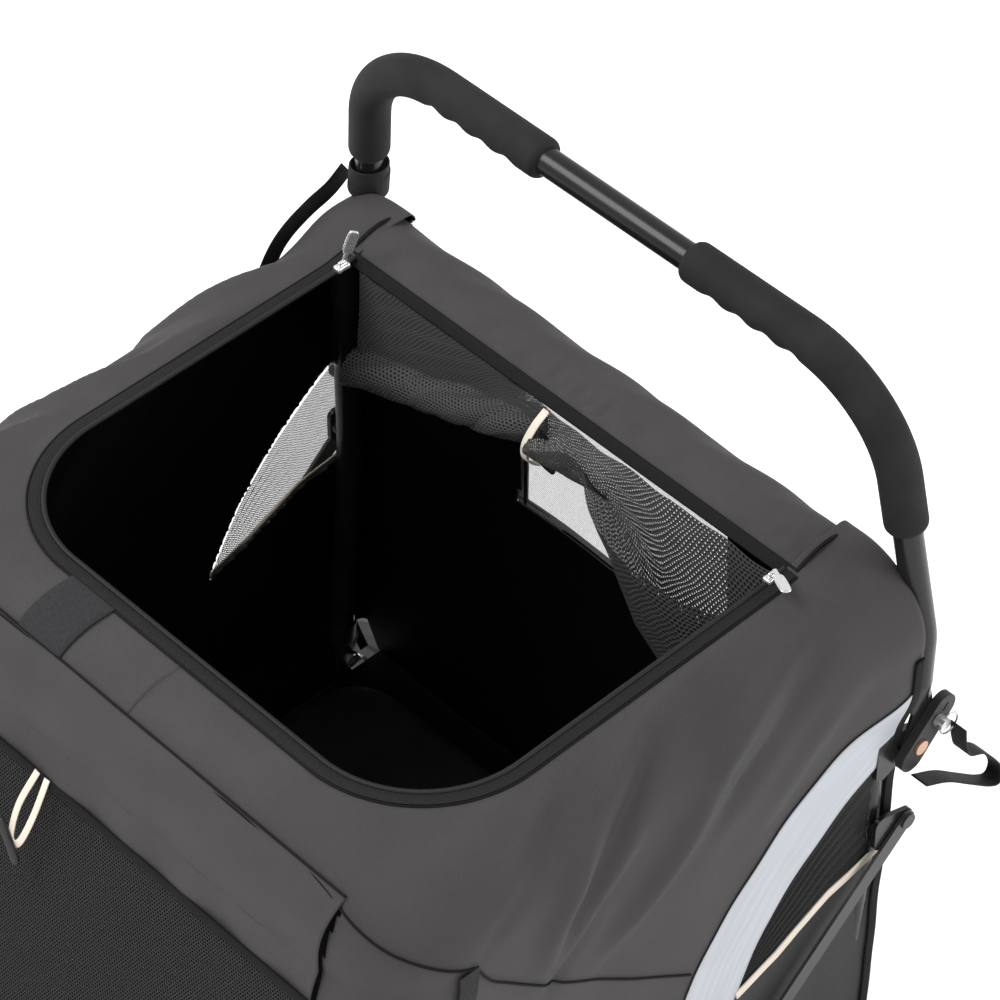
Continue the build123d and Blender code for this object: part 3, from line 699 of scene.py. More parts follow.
def shell(course, fall, proud=0.0, hand=1):
    """Point of the shell. course runs 0 to 1 along the side from the rear, 1 to 2 round the
    front corner and 2 to 3 across the front; fall runs 0 to 1 from the hatch to the roof's
    edge, 1 to 2 over the shoulder, 2 to 3 down the wall and 3 to 4 in to the hem. Level
    sections are rounded rectangles, drawn in by the shoulder's quarter circle. A course
    below 0 turns the rear edge inward round a quarter circle."""
    course, fall = np.broadcast_arrays(np.asarray(course, float), np.asarray(fall, float))
    lean = np.clip(fall - 1, 0, 1) * np.pi / 2
    wall, hem = np.clip(fall - 2, 0, 1), np.clip(fall - 3, 0, 1)
    z = TOP - SHOULDER * (1 - np.cos(lean)) - wall * (TOP - SHOULDER - FLARE_Z) - hem * (FLARE_Z - HEM)
    inset = SHOULDER * (1 - np.sin(lean)) + hem * FLARE_IN
    rear = rear_at(z)
    curl = np.clip(-course / CURL, 0, 1) * np.pi / 2
    tuck = -CURL_R * (1 - np.cos(curl)) * (1 - hem)
    y_side = rear + (BEND_Y - rear) * np.clip(course, 0, 1) + CURL_R * np.sin(curl)
    bend = CORNER - inset
    nose = front_at(z) + inset
    straight = BEND_Y - nose - bend
    across = HALF - inset - bend - NOSE_X
    travel = np.clip(course - 1, 0, 1) * (straight + bend * np.pi / 2 + across)
    turn = np.clip((travel - straight) / bend, 0, np.pi / 2)
    to_middle = np.clip(course - 2, 0, 1) * NOSE_X
    past = np.clip(travel - straight - bend * np.pi / 2, 0, None)
    x = HALF - inset - bend * (1 - np.cos(turn)) - past - to_middle
    y = y_side - np.clip(travel, 0, straight) - bend * np.sin(turn)
    flat = np.clip(fall, 0, 1)
    hatch_turn = np.clip(course - 1, 0, 1) * np.pi / 2
    hatch_x = NOSE_X + HATCH_BEND * np.cos(hatch_turn) - to_middle
    hatch_y = y_side - HATCH_BEND * np.sin(hatch_turn)
    x, y = hatch_x + (x - hatch_x) * flat, hatch_y + (y - hatch_y) * flat
    normal = np.stack([np.sin(lean) * np.cos(turn), -np.sin(lean) * np.sin(turn), np.cos(lean)], -1)
    girth = SHOULDER * lean + wall * (TOP - SHOULDER - FLARE_Z)
    swell = REAR_SWELL * ease((y - 0.27) / 0.08) * ease((z - 0.68) / 0.08)
    rumple = folds_at(y + (0.02 if hand < 0 else 0.0), girth) * ease((fall - 0.8) / 0.45) * (1 - hem)
    sag = -WAIST_SAG * np.sin(np.pi * np.clip((fall - 2.05) / 0.95, 0, 1)) * np.cos(turn)
    sag *= 1 - ease((z - 0.70) / 0.08)
    points = np.stack([x, y, z], -1) + normal * (swell + rumple + sag + tuck + proud)[..., None]
    return points * (hand, 1, 1)


def side_point(y, z, proud=0.0, hand=1):
    """Point of the side wall at y and z, below the shoulder and behind the hatch's corner."""
    y, z = np.broadcast_arrays(np.asarray(y, float), np.asarray(z, float))
    course = (rear_at(z) - y) / (rear_at(z) - BEND_Y)
    fall = 2 + (TOP - SHOULDER - z) / (TOP - SHOULDER - FLARE_Z)
    below = 3 + (FLARE_Z - z) / (FLARE_Z - HEM)
    return shell(course, np.where(z < FLARE_Z, below, fall), proud, hand)


def crumple(thing):
    """Gives a piece of the cabin's cloth a mesh of its own."""
    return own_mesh(thing)


def seated(pieces):
    """Pieces that belong to the cabin's cloth: they ride the chassis and move with it, each with a mesh of
    its own.
    """
    for piece in pieces:
        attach(piece, "chassis")
        crumple(piece)


def doubled(thing, thick=CLOTH_THICK, outward=-1.0, inner=1):
    """Gives a sheet its thickness. The inner face takes the material inner places on."""
    wall = thing.modifiers.new("cloth", "SOLIDIFY")
    wall.thickness, wall.offset, wall.material_offset = thick, outward, inner


def steps(*spans):
    """Even steps over joined spans, each (start, end, count with both ends)."""
    runs = [np.linspace(*span)[:-1] for span in spans]
    return np.concatenate(runs + [[spans[-1][1]]])


def corner_shade(cloth, where, colour):
    """The small panel behind the strip's inner arc is a darker, open cloth."""
    y = cloth.node("ShaderNodeSeparateXYZ", {}, {"Vector": where}, "Y") - STRIP_CENTRE[0]
    z = cloth.node("ShaderNodeSeparateXYZ", {}, {"Vector": where}, "Z") - STRIP_CENTRE[1]
    reach = cloth.node("ShaderNodeMath", {"operation": "SQRT"}, {0: y * y + z * z})
    return cloth.blend(reach < STRIP_INNER, colour, grey(0.018))


cabin_cloth = twill("charcoal_twill", 0.030, patch=corner_shade, gloss=0.45)
plain_cloth = twill("charcoal_twill_plain", 0.030, gloss=0.45)
lining = twill("black_lining", 0.0022, (1.0, 1.0, 1.0), gloss=0.05)
SEAM_FALL = 1.44
course_grid = steps((-CURL, 0, 9), (0, 1, 92), (1, 2, 92), (2, 3, 34))
fall_grid = steps((0, 1, 9), (1, 2, 30), (2, 3, 110), (3, 4, 14))
for side, hand in SIDES:
    course, fall = np.meshgrid(course_grid, fall_grid, indexing="ij")
    points = shell(course, fall, 0.0, hand)
    length = np.cumsum(np.linalg.norm(np.diff(points[:, 40], axis=0, prepend=points[:1, 40]), axis=1))
    depth = np.cumsum(np.linalg.norm(np.diff(points[30], axis=0, prepend=points[30, :1]), axis=1))
    spread = np.stack(np.broadcast_arrays(length[:, None], depth[None]), -1)
    middle = (points[1:, 1:] + points[:-1, :-1]) / 2
    y, z, fall_mid = middle[..., 1], middle[..., 2], (fall[1:, 1:] + fall[:-1, :-1]) / 2
    away = np.hypot(y - STRIP_CENTRE[0], z - STRIP_CENTRE[1])
    window = (away < STRIP_INNER + 0.004) & (z > np.interp(y, PIPING_Y, PIPING_Z))
    window &= (y > PIPING_Y[0]) & (y < REAR - 0.001)
    under_header = (np.abs(middle[..., 0]) < HATCH_HALF) & (fall_mid > SEAM_FALL + 0.04) & (y < -0.12)
    foot_slit = (y > 0.318) & (z < 0.325)
    keep = ~(window | under_header | foot_slit)
    if hand < 0:
        points, spread, keep = points[::-1], spread[::-1], keep[::-1]
    half_shell = surface(f"cabin_shell_{side}", points, keep, spread)
    paint(half_shell, cabin_cloth, lining)
    doubled(half_shell)
    seated((half_shell,))
    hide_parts(f"side_panel_{side}")
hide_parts("cabin_roof")

# A black liner closes the cabin's floor between the board and the walls.
round_left = shell(np.linspace(-CURL, 3, 160), 4, 0, 1)
round_right = shell(np.linspace(3, -CURL, 160)[1:], 4, 0, -1)
ring = np.concatenate([round_left, round_right])
ring = ring[::-1] * (1, 1, 0) + (0, 0, pad_low.z - 0.0002)
ring[:, 1] += 0.010 * (ring[:, 1] > 0.33)
share = np.linspace(1, 0, 12)[:, None, None]
hub = ring.mean(axis=0)
points = hub + (ring - hub) * share
flat = np.pad(points[..., :2], ((0, 0), (0, 1), (0, 0)), mode="wrap")
liner = paint(mend(surface("cabin_floor_liner", points, spread=flat, closed=True)), lining)
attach(liner, "chassis")


# ---- reflective strips and corner meshes --------------------------------------------------------
# A silvery retro-reflective strip is sewn from the rear corner down to the hem. Below it
# a pleated air mesh fills the corner, closed by a cream piping.
def on_arc(angle, radius):
    """y and z on an arc about the strip's centre."""
    return STRIP_CENTRE[0] + radius * np.cos(angle), STRIP_CENTRE[1] + radius * np.sin(angle)


def rear_angle(radius):
    """Where an arc about the strip's centre meets the rear edge."""
    return np.arccos((REAR - 0.001 - STRIP_CENTRE[0]) / radius)


def reflector():
    """Glass-bead cloth: pale bluish silver. Faint lighter streaks along its length are painted highlights on
    its folds; the same streaks give the folds a faint relief.
    """
    beads = Finish("reflective_cloth")
    flat, where = beads.place("UV"), beads.place()
    long_way = beads.node(
        "ShaderNodeMapping", {}, {"Vector": flat, "Scale": (7.0, 150.0, 1.0), "Rotation": (0, 0, 0.12)}
    )
    fold_relief_and_highlight = beads.noise(long_way, 1.0, 2.0)
    grain = beads.noise(where, 1500.0, 2.0)
    # lighter streaks along the strip: painted highlights on its folds, mixed with the bead grain
    grain_and_fold_highlight = beads.remap(fold_relief_and_highlight, 0.42, 0.72, 0.0, 1.0) * 0.5 + grain * 0.5
    return beads.done(
        Base_Color=beads.blend(grain_and_fold_highlight, (0.38, 0.405, 0.44, 1.0), (0.49, 0.51, 0.54, 1.0)),
        Metallic=0.25,
        Roughness=beads.remap(grain, 0.3, 0.7, 0.42, 0.55),
        Normal=beads.bump(fold_relief_and_highlight * 0.8 + grain * 0.2, 0.0004, 0.3),
    )


def netting(name, level, pitch, hole, tint=(1.0, 1.0, 1.0)):
    """Open knit: round holes in rows set half a step over, on the UV map in metres. The
    threads swell between the holes, and the holes are cut through. The threads are painted
    lighter away from the holes: a painted highlight on the knots."""
    net = Finish(name)
    flat = net.place("UV")
    u = net.node("ShaderNodeSeparateXYZ", {}, {"Vector": flat}, "X") / pitch
    v = net.node("ShaderNodeSeparateXYZ", {}, {"Vector": flat}, "Y") / (pitch * 0.866)
    row = net.node("ShaderNodeMath", {"operation": "FLOOR"}, {0: v})
    shift = net.node("ShaderNodeMath", {"operation": "FLOORED_MODULO"}, {0: row, 1: 2.0}) * 0.5
    across = net.node("ShaderNodeMath", {"operation": "FRACT"}, {0: u + shift}) - 0.5
    along = (net.node("ShaderNodeMath", {"operation": "FRACT"}, {0: v}) - 0.5) * 0.866
    gap = net.node("ShaderNodeMath", {"operation": "SQRT"}, {0: across * across + along * along})
    # the threads' swell, which also sets their colour: dark at the holes and light between them, a painted
    # highlight
    thread = net.remap(gap, hole * 0.8, 0.5, 0.0, 1.0)
    return net.done(
        Base_Color=net.blend(thread, grey(level * 0.5, tint), grey(level * 1.6, tint)),
        Roughness=0.6,
        Alpha=net.remap(gap, hole * 0.9, hole * 1.1, 0.0, 1.0),
        Normal=net.bump(thread, pitch * 0.25, 0.8),
        Specular_IOR_Level=0.25,
    )


def plain_dye(name, level, tint):
    """Dyed cotton tape: fine cross ribs and a little mottling."""
    tape = Finish(name)
    where = tape.place()
    rib = tape.noise(where, 900.0, 2.0)
    cloud = tape.noise(where, 60.0, 3.0)
    return tape.done(
        Base_Color=tape.blend(rib * 0.6 + cloud * 0.4, grey(level * 0.8, tint), grey(level * 1.15, tint)),
        Roughness=tape.remap(rib, 0.3, 0.7, 0.6, 0.8),
        Normal=tape.bump(rib, 0.0003, 0.5),
        Specular_IOR_Level=0.12,
    )


silver_cloth = reflector()
corner_net = netting("black_air_mesh", 0.010, 0.0016, 0.27)
cream = plain_dye("cream_piping", 0.66, (1.0, 0.90, 0.77))
binding_black = plain_dye("black_binding", 0.006, (1.0, 1.0, 1.06))
PLEATS, PLEAT_DEPTH = 7, 0.0030
for side, hand in SIDES:
    radius = np.linspace(STRIP_INNER, STRIP_OUTER, 18)
    share = np.linspace(0, 1, 150)[:, None]
    angle = rear_angle(radius)[None] * (1 - share) + share * np.pi
    length = share * 0.62 + 0 * angle
    points = side_point(*on_arc(angle, radius[None]), 0.0012, hand)
    flat = np.stack([length, radius[None] + 0 * length], -1)
    strip = paint(surface(f"reflective_strip_{side}", points[::-hand], spread=flat[::-hand]), silver_cloth)
    doubled(strip, 0.0008, 1.0, 0)
    tip = np.arccos((PIPING_Y[0] - STRIP_CENTRE[0]) / STRIP_INNER)
    high = np.stack(on_arc(np.linspace(rear_angle(STRIP_INNER), tip, 130), STRIP_INNER), -1)
    low_y = np.linspace(REAR - 0.001, PIPING_Y[0], 130)
    low = np.stack([low_y, np.interp(low_y, PIPING_Y, PIPING_Z)], -1)
    drop = np.linspace(0, 1, 70)[None, :, None]
    yz = high[:, None] * (1 - drop) + low[:, None] * drop
    fade = np.sin(np.pi * np.linspace(0.03, 0.97, 130))[:, None]
    pleat = PLEAT_DEPTH * np.abs(np.sin(np.pi * PLEATS * drop[..., 0])) * fade
    points = side_point(yz[..., 0], yz[..., 1], pleat - 0.001, hand)
    run = np.linspace(0, 0.23, 130)[:, None] + 0 * drop[..., 0]
    depth = np.linalg.norm(yz - high[:, None], axis=-1) * 1.35
    flat = np.stack([run, depth], -1)
    net = paint(surface(f"corner_mesh_{side}", points[::hand], spread=flat[::hand]), corner_net)
    line = side_point(low_y, np.interp(low_y, PIPING_Y, PIPING_Z), 0.002, hand)
    wide = unit(np.cross((hand * 1.0, 0, 0), unit(np.gradient(line, axis=0))))
    piping = paint(band(f"cream_piping_{side}", line, wide, 0.0095, 0.0022), cream)
    seated((strip,))
    seated((net, piping))
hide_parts("reflective_strips")
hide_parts("side_meshes")


def tape(name, line, facing, width, thick, *materials):
    """Narrow band laid on cloth whose outside looks along facing."""
    ahead = unit(np.gradient(line, axis=0))
    return paint(band(name, line, unit(np.cross(facing, ahead)), width, thick), *materials)


# A black webbing keeper runs down each side from the front corner seam to the hem, a
# binding closes the rear edge, and a fine cord covers the seam round the shoulder.
KEEPER_Y = -0.128
# the seam's points as (course, fall) of the shell
SEAM_KNOTS = (
    (2.99, 1.43), (2.0, 1.43), (1.72, 1.46), (1.52, 1.72),
    (1.34, 2.015), (1.218, 2.123), (0.972, 2.30), (0.658, 2.505),
)
for side, hand in SIDES:
    z = np.linspace(0.806, 0.300, 170)
    line = side_point(KEEPER_Y, z, 0.0022, hand)
    keeper = tape(f"side_webbing_{side}", line, (hand, 0, 0), 0.020, 0.0014, black_web)
    z = np.linspace(0.792, 0.300, 170)
    line = side_point(rear_at(z) - 0.002, z, 0.0018, hand)
    edging = tape(f"rear_edging_{side}", line, (hand, 0, 0), 0.010, 0.0024, binding_black)
    path = smooth([(course, fall, 0) for course, fall in SEAM_KNOTS], 0.004)
    line = even(shell(path[:, 0], path[:, 1], 0.0008, hand), 0.002)
    up = np.broadcast_to((hand * 0.5, -0.3, 0.6), line.shape)
    cord = surface(f"shoulder_seam_{side}", swept(line, 0.0011 * circle(8)[None], up), closed=True)
    seam = paint(mend(cord), binding_black)
    seated((keeper, edging, seam))


# ---- front: brow and mesh -----------------------------------------------------------------------
# The roof's front edge is a soft brow of twill, sewn on with a lapped seam and bound in
# black. Below it a black mesh fills the front down to the toe. A cream loop with a
# toggle hangs from the binding, to hold the mesh when it is rolled up.
BROW_X, BROW_Z = 0.2535, 0.760
arc = np.linspace(0, np.pi / 2, 60)
profile_y = np.concatenate([[HATCH_FRONT], FRONT + SHOULDER * (1 - np.sin(arc)), [FRONT], [TOE_Y]])
profile_z = np.concatenate([[TOP], TOP - SHOULDER * (1 - np.cos(arc)), [CHIN_Z], [TOE_Z]])
profile = even(np.stack([0 * profile_y, profile_y, profile_z], -1), 0.001)
profile_way = length_along(profile)
profile_ahead = unit(np.gradient(profile, axis=0))
profile_out = np.stack([0 * profile_way, profile_ahead[:, 2], -profile_ahead[:, 1]], -1)


def brow(x, way, proud=0.0):
    """Point of the roof's front and the front wall, way metres from the hatch down its profile."""
    x, way, proud = np.broadcast_arrays(*[np.asarray(value, float) for value in (x, way, proud)])
    place = [np.interp(way, profile_way, profile[:, k]) for k in range(3)]
    out = [np.interp(way, profile_way, profile_out[:, k]) for k in range(3)]
    return np.stack([x + proud * out[0], place[1] + proud * out[1], place[2] + proud * out[2]], -1)


def way_of(z):
    """How far down the profile the height z is."""
    return np.interp(-z, -profile[:, 2], profile_way)


def apron(name, x, way, proud):
    """Cloth on the profile, with its outside to the front and a UV map in metres."""
    flat = np.stack([x, way], -1)
    return surface(name, brow(x, way, proud)[::-1], spread=flat[::-1])


SEAM_WAY = (HATCH_FRONT - FRONT - SHOULDER) + (SEAM_FALL - 1) * SHOULDER * np.pi / 2 - 0.004
FOOT_WAY, BROW_WAY = profile_way[-1], way_of(BROW_Z)
x, way = np.meshgrid(np.linspace(-BROW_X, BROW_X, 170), np.linspace(SEAM_WAY, BROW_WAY, 50), indexing="ij")
share = (way - way.min()) / np.ptp(way)
ruffle = 0.0012 * np.sin(31 * x + 9 * share) * np.sin(3 * share + 17 * x)
ruffle += 0.0010 * np.sin(83 * x + 5) * share
puff = 0.0016 + 0.0035 * np.sin(np.pi * share) ** 0.6
brow_flap = paint(apron("front_brow", x, way, puff + ruffle), plain_cloth, lining)
doubled(brow_flap, 0.0012)
x = np.linspace(-BROW_X, BROW_X, 260)
line = brow(x, BROW_WAY, 0.0036)
lower = tape("front_brow_binding", line, (0, -1, 0.3), 0.009, 0.0030, binding_black)
line = brow(x, SEAM_WAY, 0.0022)
lapped = tape("front_brow_seam", line, (0, -0.4, 0.9), 0.0022, 0.0018, binding_black)
seated((brow_flap, lower, lapped))
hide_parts("front_header")

front_net = netting("black_front_mesh", 0.007, 0.0030, 0.25)
across = np.linspace(-BROW_X - 0.002, BROW_X + 0.002, 150)
x, way = np.meshgrid(across, np.linspace(BROW_WAY - 0.004, FOOT_WAY, 130), indexing="ij")
share = (way - way.min()) / np.ptp(way)
sag = -0.007 * np.sin(np.pi * share) * np.cos(np.pi * x / (2 * BROW_X))
sag += 0.0016 * np.sin(26 * x + 7 * share) * np.sin(9 * share)
front_mesh = paint(apron("front_mesh", x, way, sag - 0.001), front_net)
way = np.linspace(BROW_WAY, FOOT_WAY, 240)
edges = []
for side, hand in SIDES:
    line = brow(hand * BROW_X, way, 0.0016)
    edges.append(tape(f"front_mesh_binding_{side}", line, (0, -1, 0.4), 0.013, 0.0022, binding_black))
line = brow(np.linspace(-BROW_X, BROW_X, 200), FOOT_WAY - 0.004, 0.002)
edges.append(tape("front_mesh_hem", line, (0, -1, 0.4), 0.016, 0.0024, binding_black))
seated([front_mesh] + edges)
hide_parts("front_panel")

LOOP_X = -0.060
loop_line = smooth([brow(LOOP_X - 0.006, way_of(0.764), 0.006), brow(LOOP_X - 0.009, way_of(0.735), 0.012),
                    brow(LOOP_X - 0.006, way_of(0.712), 0.014), brow(LOOP_X, way_of(0.706), 0.014),
                    brow(LOOP_X + 0.006, way_of(0.712), 0.014), brow(LOOP_X + 0.009, way_of(0.735), 0.012),
                    brow(LOOP_X + 0.006, way_of(0.764), 0.006)], 0.001)
front_loop = tape("front_loop", loop_line, (0, -1, 0.4), 0.0065, 0.0013, cream)


def rounded_bar(name, middle, along, out, length, width, thick, pinch=0.0):
    """Bar with a superellipse section, drawn in at its middle by pinch and closed in domes."""
    t = np.linspace(-1, 1, 41)[:, None]
    turn = np.linspace(0, 2 * np.pi, 29)[None, :-1]
    close = np.clip(1 - np.abs(t) ** 8, 0, 1) ** 0.5
    waist = 1 - pinch * np.cos(np.pi * t / 2) ** 2
    a = width / 2 * close * waist * np.sign(np.cos(turn)) * np.abs(np.cos(turn)) ** 0.6
    b = thick / 2 * close * np.sign(np.sin(turn)) * np.abs(np.sin(turn)) ** 0.6
    along, out = unit(np.array(along, float)), unit(np.array(out, float))
    points = np.array(middle) + (length / 2 * t * np.ones_like(turn))[..., None] * along
    points = points + a[..., None] * np.cross(out, along) + b[..., None] * out
    return mend(surface(name, points, closed=True))


middle = brow(LOOP_X - 0.003, way_of(0.707), 0.018)
along, out = (0.83, -0.28, -0.48), (0, -0.9, 0.43)
bar = rounded_bar("front_toggle_bar", middle, along, out, 0.042, 0.009, 0.005, 0.25)
paint(bar, nylon_grey)
seated((front_loop, bar))
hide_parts("front_toggle")


# ---- hatch zipper, sliders and hook patch -------------------------------------------------------
# A black coil zipper runs round the hatch, its coil on the inner edge and its ribbed tape
# sewn on the roof. One silver slider waits at each rear corner.
COIL_PITCH = 0.0019
zip_black = moulded("zip_coil", 0.004)
zip_tape = webbing("zip_tape", 0.005)
hatch = np.concatenate([
    shell(steps((0.175, 1, 120), (1, 2, 90), (2, 3, 60))[:-1], 0, 0, 1),
    shell(steps((3, 2, 60), (2, 1, 90), (1, 0.175, 120)), 0, 0, -1),
])
edge_line = even(hatch, 0.0005)
run = length_along(edge_line)
inward = unit(np.cross((0, 0, 1.0), unit(np.gradient(edge_line, axis=0))))
inward *= -np.sign(np.sum(inward[len(run) // 2] * np.array([0, -1.0, 0])))
thread = (0.0021 + 0.0006 * np.abs(np.sin(np.pi * run / COIL_PITCH)))[:, None, None]
coil_path = edge_line + 0.0010 * inward + (0, 0, 0.0012)
coil = swept(coil_path, thread * circle(8)[None], np.broadcast_to((0, 0, 1.0), coil_path.shape))
coil = paint(mend(surface("zip_coil", coil, closed=True)), zip_black)
tape_path = even(hatch, 0.003)
tape_in = inward[np.minimum((np.arange(len(tape_path)) * 6), len(inward) - 1)]
line = tape_path - 0.0062 * tape_in + (0, 0, 0.0012)
zip_band = tape("zip_tape", line, (0, 0, 1), 0.0105, 0.0010, zip_tape)
line = tape_path - 0.0128 * tape_in + (0, 0, 0.0006)
zip_seam = tape("zip_seam", line, (0, 0, 1), 0.0018, 0.0014, binding_black)
seated((coil, zip_band, zip_seam))
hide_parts("zipper_track")

silver = plated("silver_slider", grey(0.80), 0.16)
for side, hand in SIDES:
    seat = np.array([hand * 0.2545, 0.284, TOP + 0.0035])
    body = rounded_bar(f"zip_body_{side}", seat, (0, 1, 0), (0, 0, 1), 0.015, 0.0095, 0.0058, 0.15)
    top = seat + (0, 0.001, 0.0042)
    bridge = rounded_bar(f"zip_bridge_{side}", top, (0, 1, 0), (0, 0, 1), 0.010, 0.0034, 0.0044)
    pull_way = unit(np.array((0.12, 0.35, 1.0) if hand < 0 else (0.86, -0.45, 0.16)))
    facing = (0.75, -0.66, 0.0) if hand < 0 else (0.0, 0.1, 1.0)
    hinge = seat + (0, 0.003, 0.0062)
    middle = hinge + 0.005 * pull_way
    neck = rounded_bar(f"zip_neck_{side}", middle, pull_way, facing, 0.013, 0.0042, 0.0022)
    middle = hinge + 0.0185 * pull_way
    pull = rounded_bar(f"zip_pull_{side}", middle, pull_way, facing, 0.025, 0.0095, 0.0024, -0.1)
    for piece in (body, bridge, neck, pull):
        paint(piece, silver)
        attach(piece, f"{side}_zip")
        crumple(piece)
    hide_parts(f"zip_slider_{side}")


def fuzz(name, level, tint):
    """Napped loop tape: short fibres seen end-on as fine noise, in rows."""
    nap = Finish(name)
    where = nap.place()
    fibre = nap.noise(where, 1100.0, 3.0)
    tuft = nap.noise(where, 320.0, 2.0)
    pile = nap.remap(fibre * 0.6 + tuft * 0.4, 0.35, 0.65, 0.0, 1.0)
    return nap.done(
        Base_Color=nap.blend(pile, grey(level * 0.4, tint), grey(level * 1.8, tint)),
        Roughness=0.85,
        Normal=nap.bump(fibre * 0.5 + tuft * 0.5, 0.0009, 0.9),
    )


PATCH_X, PATCH_WAY = (-0.134, -0.082), (0.012, 0.074)
x, way = np.meshgrid(np.linspace(*PATCH_X, 40), np.linspace(*PATCH_WAY, 46), indexing="ij")
edge = np.minimum.reduce([x - PATCH_X[0], PATCH_X[1] - x, way - PATCH_WAY[0], PATCH_WAY[1] - way])
pile = fuzz("navy_black_pile", 0.009, (0.95, 0.98, 1.15))
patch = paint(apron("hook_patch_pile", x, way, 0.0022 + 0.0014 * ease(edge / 0.005)), pile)
doubled(patch, 0.0022, -1.0, 0)
seated((patch,))
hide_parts("hook_patch")


# ---- rear: band, wall, window -------------------------------------------------------------------
# A band of twill closes the roof behind the hatch and turns down over the rear. The rear
# wall has a window of fine see-through mesh.
BAND_X = 0.266
band_line = smooth([(0, 0.2985, 0.8610), (0, 0.303, 0.8665), (0, 0.316, 0.8725), (0, 0.334, 0.8765),
                    (0, 0.350, 0.8745),
                    (0, 0.3650, 0.8660), (0, 0.3745, 0.850), (0, 0.3785, 0.820), (0, 0.3800, 0.780)], 0.0015)
band_way = length_along(band_line)
x, row = np.meshgrid(np.linspace(-BAND_X, BAND_X, 240), np.arange(len(band_line)), indexing="ij")
ahead = unit(np.gradient(band_line, axis=0))
band_out = np.stack([0 * band_way, -ahead[:, 2], ahead[:, 1]], -1)
share = band_way[row] / band_way[-1]
pucker = 0.0024 * np.sin(150 * x + 3 * np.sin(21 * x)) * np.exp(-((share - 0.16) / 0.10) ** 2)
pucker *= ease((share - 0.06) / 0.06)
swell = 0.0010 * np.sin(37 * x + 14 * share) + 0.0008 * np.sin(71 * x - 23 * share)
pucker += swell * np.sin(np.pi * share) ** 1.5
points = band_line[row] + band_out[row] * pucker[..., None]
points[..., 0] += x
rear_band = surface("rear_band_cloth", points, spread=np.stack([x, band_way[row]], -1))
paint(rear_band, plain_cloth, lining)
doubled(rear_band)
x = np.linspace(-BAND_X, BAND_X, 260)
line = np.stack([x, 0 * x + 0.3000, 0 * x + 0.8662], -1)
bound = tape("rear_band_binding", line, (0, -0.62, 0.78), 0.012, 0.0030, binding_black)
ends = []
for side, hand in SIDES:
    reach = len(band_line) * 2 // 5
    line = (band_line + 0.0022 * band_out + (hand * (BAND_X - 0.002), 0, 0))[:reach]
    ends.append(tape(f"rear_band_seam_{side}", line, band_out[:reach], 0.0036, 0.0022, binding_black))
seated([rear_band, bound] + ends)
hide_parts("rear_band")

WINDOW_X, WINDOW_Z = 0.130, (0.606, 0.760)
fall = steps((0.85, 1, 4), (1, 2, 16), (2, 3, 110), (3, 4, 10))
across = np.linspace(0, 1, 130)
left, right = shell(-CURL, fall, 0.001, 1), shell(-CURL, fall, 0.001, -1)
points = right[:, None] * (1 - across[None, :, None]) + left[:, None] * across[None, :, None]
billow = 0.006 * np.sin(np.pi * across)[None] * np.sin(np.pi * np.clip((0.865 - points[..., 2]) / 0.55, 0, 1))
billow = billow + 0.0012 * np.sin(31 * points[..., 0] + 17 * points[..., 2])
points[..., 1] += billow * ease((0.80 - points[..., 2]) / 0.15)
middle = (points[1:, 1:] + points[:-1, :-1]) / 2
cut = (np.abs(middle[..., 0]) < WINDOW_X) & (middle[..., 2] > WINDOW_Z[0]) & (middle[..., 2] < WINDOW_Z[1])
cut |= (np.abs(middle[..., 0]) < BAND_X - 0.006) & (middle[..., 2] > 0.795)
rear_wall = surface("rear_wall", points[::-1], ~cut[::-1], points[::-1][..., (0, 2)])
paint(rear_wall, plain_cloth, lining)
doubled(rear_wall)
seated((rear_wall,))
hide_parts("rear_panel")

window_net = netting("grey_window_mesh", 0.30, 0.0014, 0.33, (1.0, 0.99, 1.0))
inside = (points[..., 2] > WINDOW_Z[0] - 0.008) & (points[..., 2] < WINDOW_Z[1] + 0.008)
inside &= np.abs(points[..., 0]) < WINDOW_X + 0.009
rows = np.where(inside.any(axis=1))[0]
columns = np.where(inside.any(axis=0))[0]
pane = points[rows[0]:rows[-1] + 1, columns[0]:columns[-1] + 1] + (0, 0.0022, 0)
window = paint(surface("rear_window_mesh", pane[::-1], spread=pane[::-1][..., (0, 2)]), window_net)
frame_bars = []
for label, z in (("top", WINDOW_Z[1]), ("foot", WINDOW_Z[0])):
    x = np.linspace(-WINDOW_X - 0.004, WINDOW_X + 0.004, 150)
    y = np.interp(x, pane[len(pane) // 2, :, 0], pane[np.abs(pane[:, 0, 2] - z).argmin(), :, 1]) + 0.0012
    line = np.stack([x, y, 0 * x + z], -1)
    frame_bars.append(tape(f"rear_window_tape_{label}", line, (0, 1, 0), 0.014, 0.0024, binding_black))
for side, hand in SIDES:
    z = np.linspace(WINDOW_Z[1], WINDOW_Z[0], 80)
    column = pane[:, -3 if hand > 0 else 2]
    y = np.interp(-z, -column[:, 2], column[:, 1]) + 0.0012
    line = np.stack([0 * z + hand * WINDOW_X, y, z], -1)
    frame_bars.append(tape(f"rear_window_tape_{side}", line, (0, 1, 0), 0.014, 0.0024, binding_black))
seated([window] + frame_bars)
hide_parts("rear_mesh")


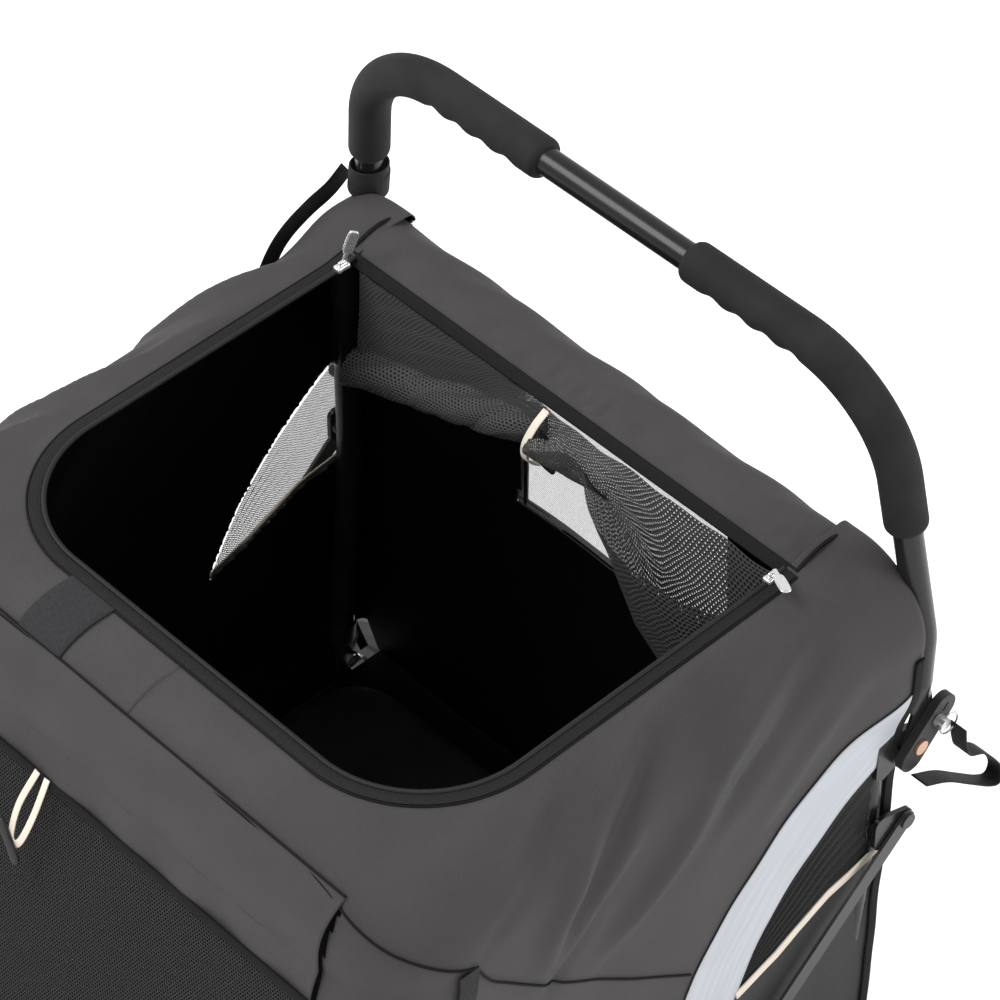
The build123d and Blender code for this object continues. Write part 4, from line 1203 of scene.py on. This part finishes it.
# ---- hatch curtain ------------------------------------------------------------------------------
# The roll-up curtain of black air mesh hangs from the band's inner edge. It is rolled from
# its right end towards a cream loop near the middle, and hangs loose on the left.
CURTAIN_X, GATHER_X, HANG_X = 0.246, -0.040, -0.012
ROLL_R = 0.021
air_mesh = netting("black_hexagonal_mesh", 0.040, 0.0048, 0.165)
u = np.linspace(-1, 1, 230)[:, None]
v = np.linspace(0, 1, 150)[None]
x = CURTAIN_X * u + 0 * v
to_left = ease((x - GATHER_X) / 0.05)
rolled = 1 - to_left
hang = np.interp(x, [-0.246, -0.15, GATHER_X, 0.03, 0.07, 0.10, 0.13, 0.18, 0.246],
                 [0.084, 0.060, 0.016, 0.018, 0.036, 0.078, 0.130, 0.160, 0.160])
spin = np.clip((v - 0.30) / 0.70, 0, 1) * 1.55 * 2 * np.pi
girth = ROLL_R * (1.08 - 0.20 * np.clip((v - 0.30) / 0.70, 0, 1)) * (0.78 + 0.22 * np.abs(u + 0.1))
roll_y = -girth * np.sin(spin)
roll_z = -hang - girth * (1 - np.cos(spin)) * 1.0
fall_z = -hang * np.clip(v / 0.30, 0, 1)
wave = 0.010 * np.sin(46 * x + 5 * v + 1.5 * np.sin(19 * x)) * ease(v * 2.5)
loose_z = -(hang + 0.008 * ease((x - GATHER_X) / 0.12)) * np.sin(v * np.pi * 0.86)
loose_y = -0.004 - 0.030 * v + wave * (0.6 + 0.8 * v)
crinkle = 0.0022 * np.sin(90 * x + 40 * v) * np.sin(35 * v + 21 * x)
z = rolled * np.where(v < 0.30, fall_z, roll_z) + to_left * loose_z + crinkle
y = rolled * (np.where(v < 0.30, -0.004 * v / 0.3, roll_y - 0.004) + 0.4 * wave) + to_left * loose_y
points = np.stack([x * (1 - 0.02 * v), 0.2965 + y, 0.8620 + z], -1)
flat = np.stack([0.26 * u + 0 * v, 0.40 * v + 0 * u], -1)
curtain = paint(surface("rolled_curtain", points, spread=flat), air_mesh)
seated((curtain,))
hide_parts("hatch_curtain")
HANG_YZ = (
    (0.2930, 0.8610), (0.2790, 0.8520), (0.2680, 0.8380),
    (0.2680, 0.8220), (0.2800, 0.8080), (0.2930, 0.8030),
)
gather = smooth([(HANG_X, y, z) for y, z in HANG_YZ], 0.001)
curtain_loop = tape("curtain_loop", gather, (0, -1, 0.2), 0.0075, 0.0013, cream)
middle = (HANG_X - 0.002, 0.290, 0.8010)
along, out = (0.94, 0.1, -0.3), (0, -1, 0)
curtain_bar = rounded_bar("curtain_toggle_bar", middle, along, out, 0.030, 0.007, 0.0045, 0.2)
paint(curtain_bar, nylon_black)
seated((curtain_loop, curtain_bar))
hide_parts("curtain_toggle")
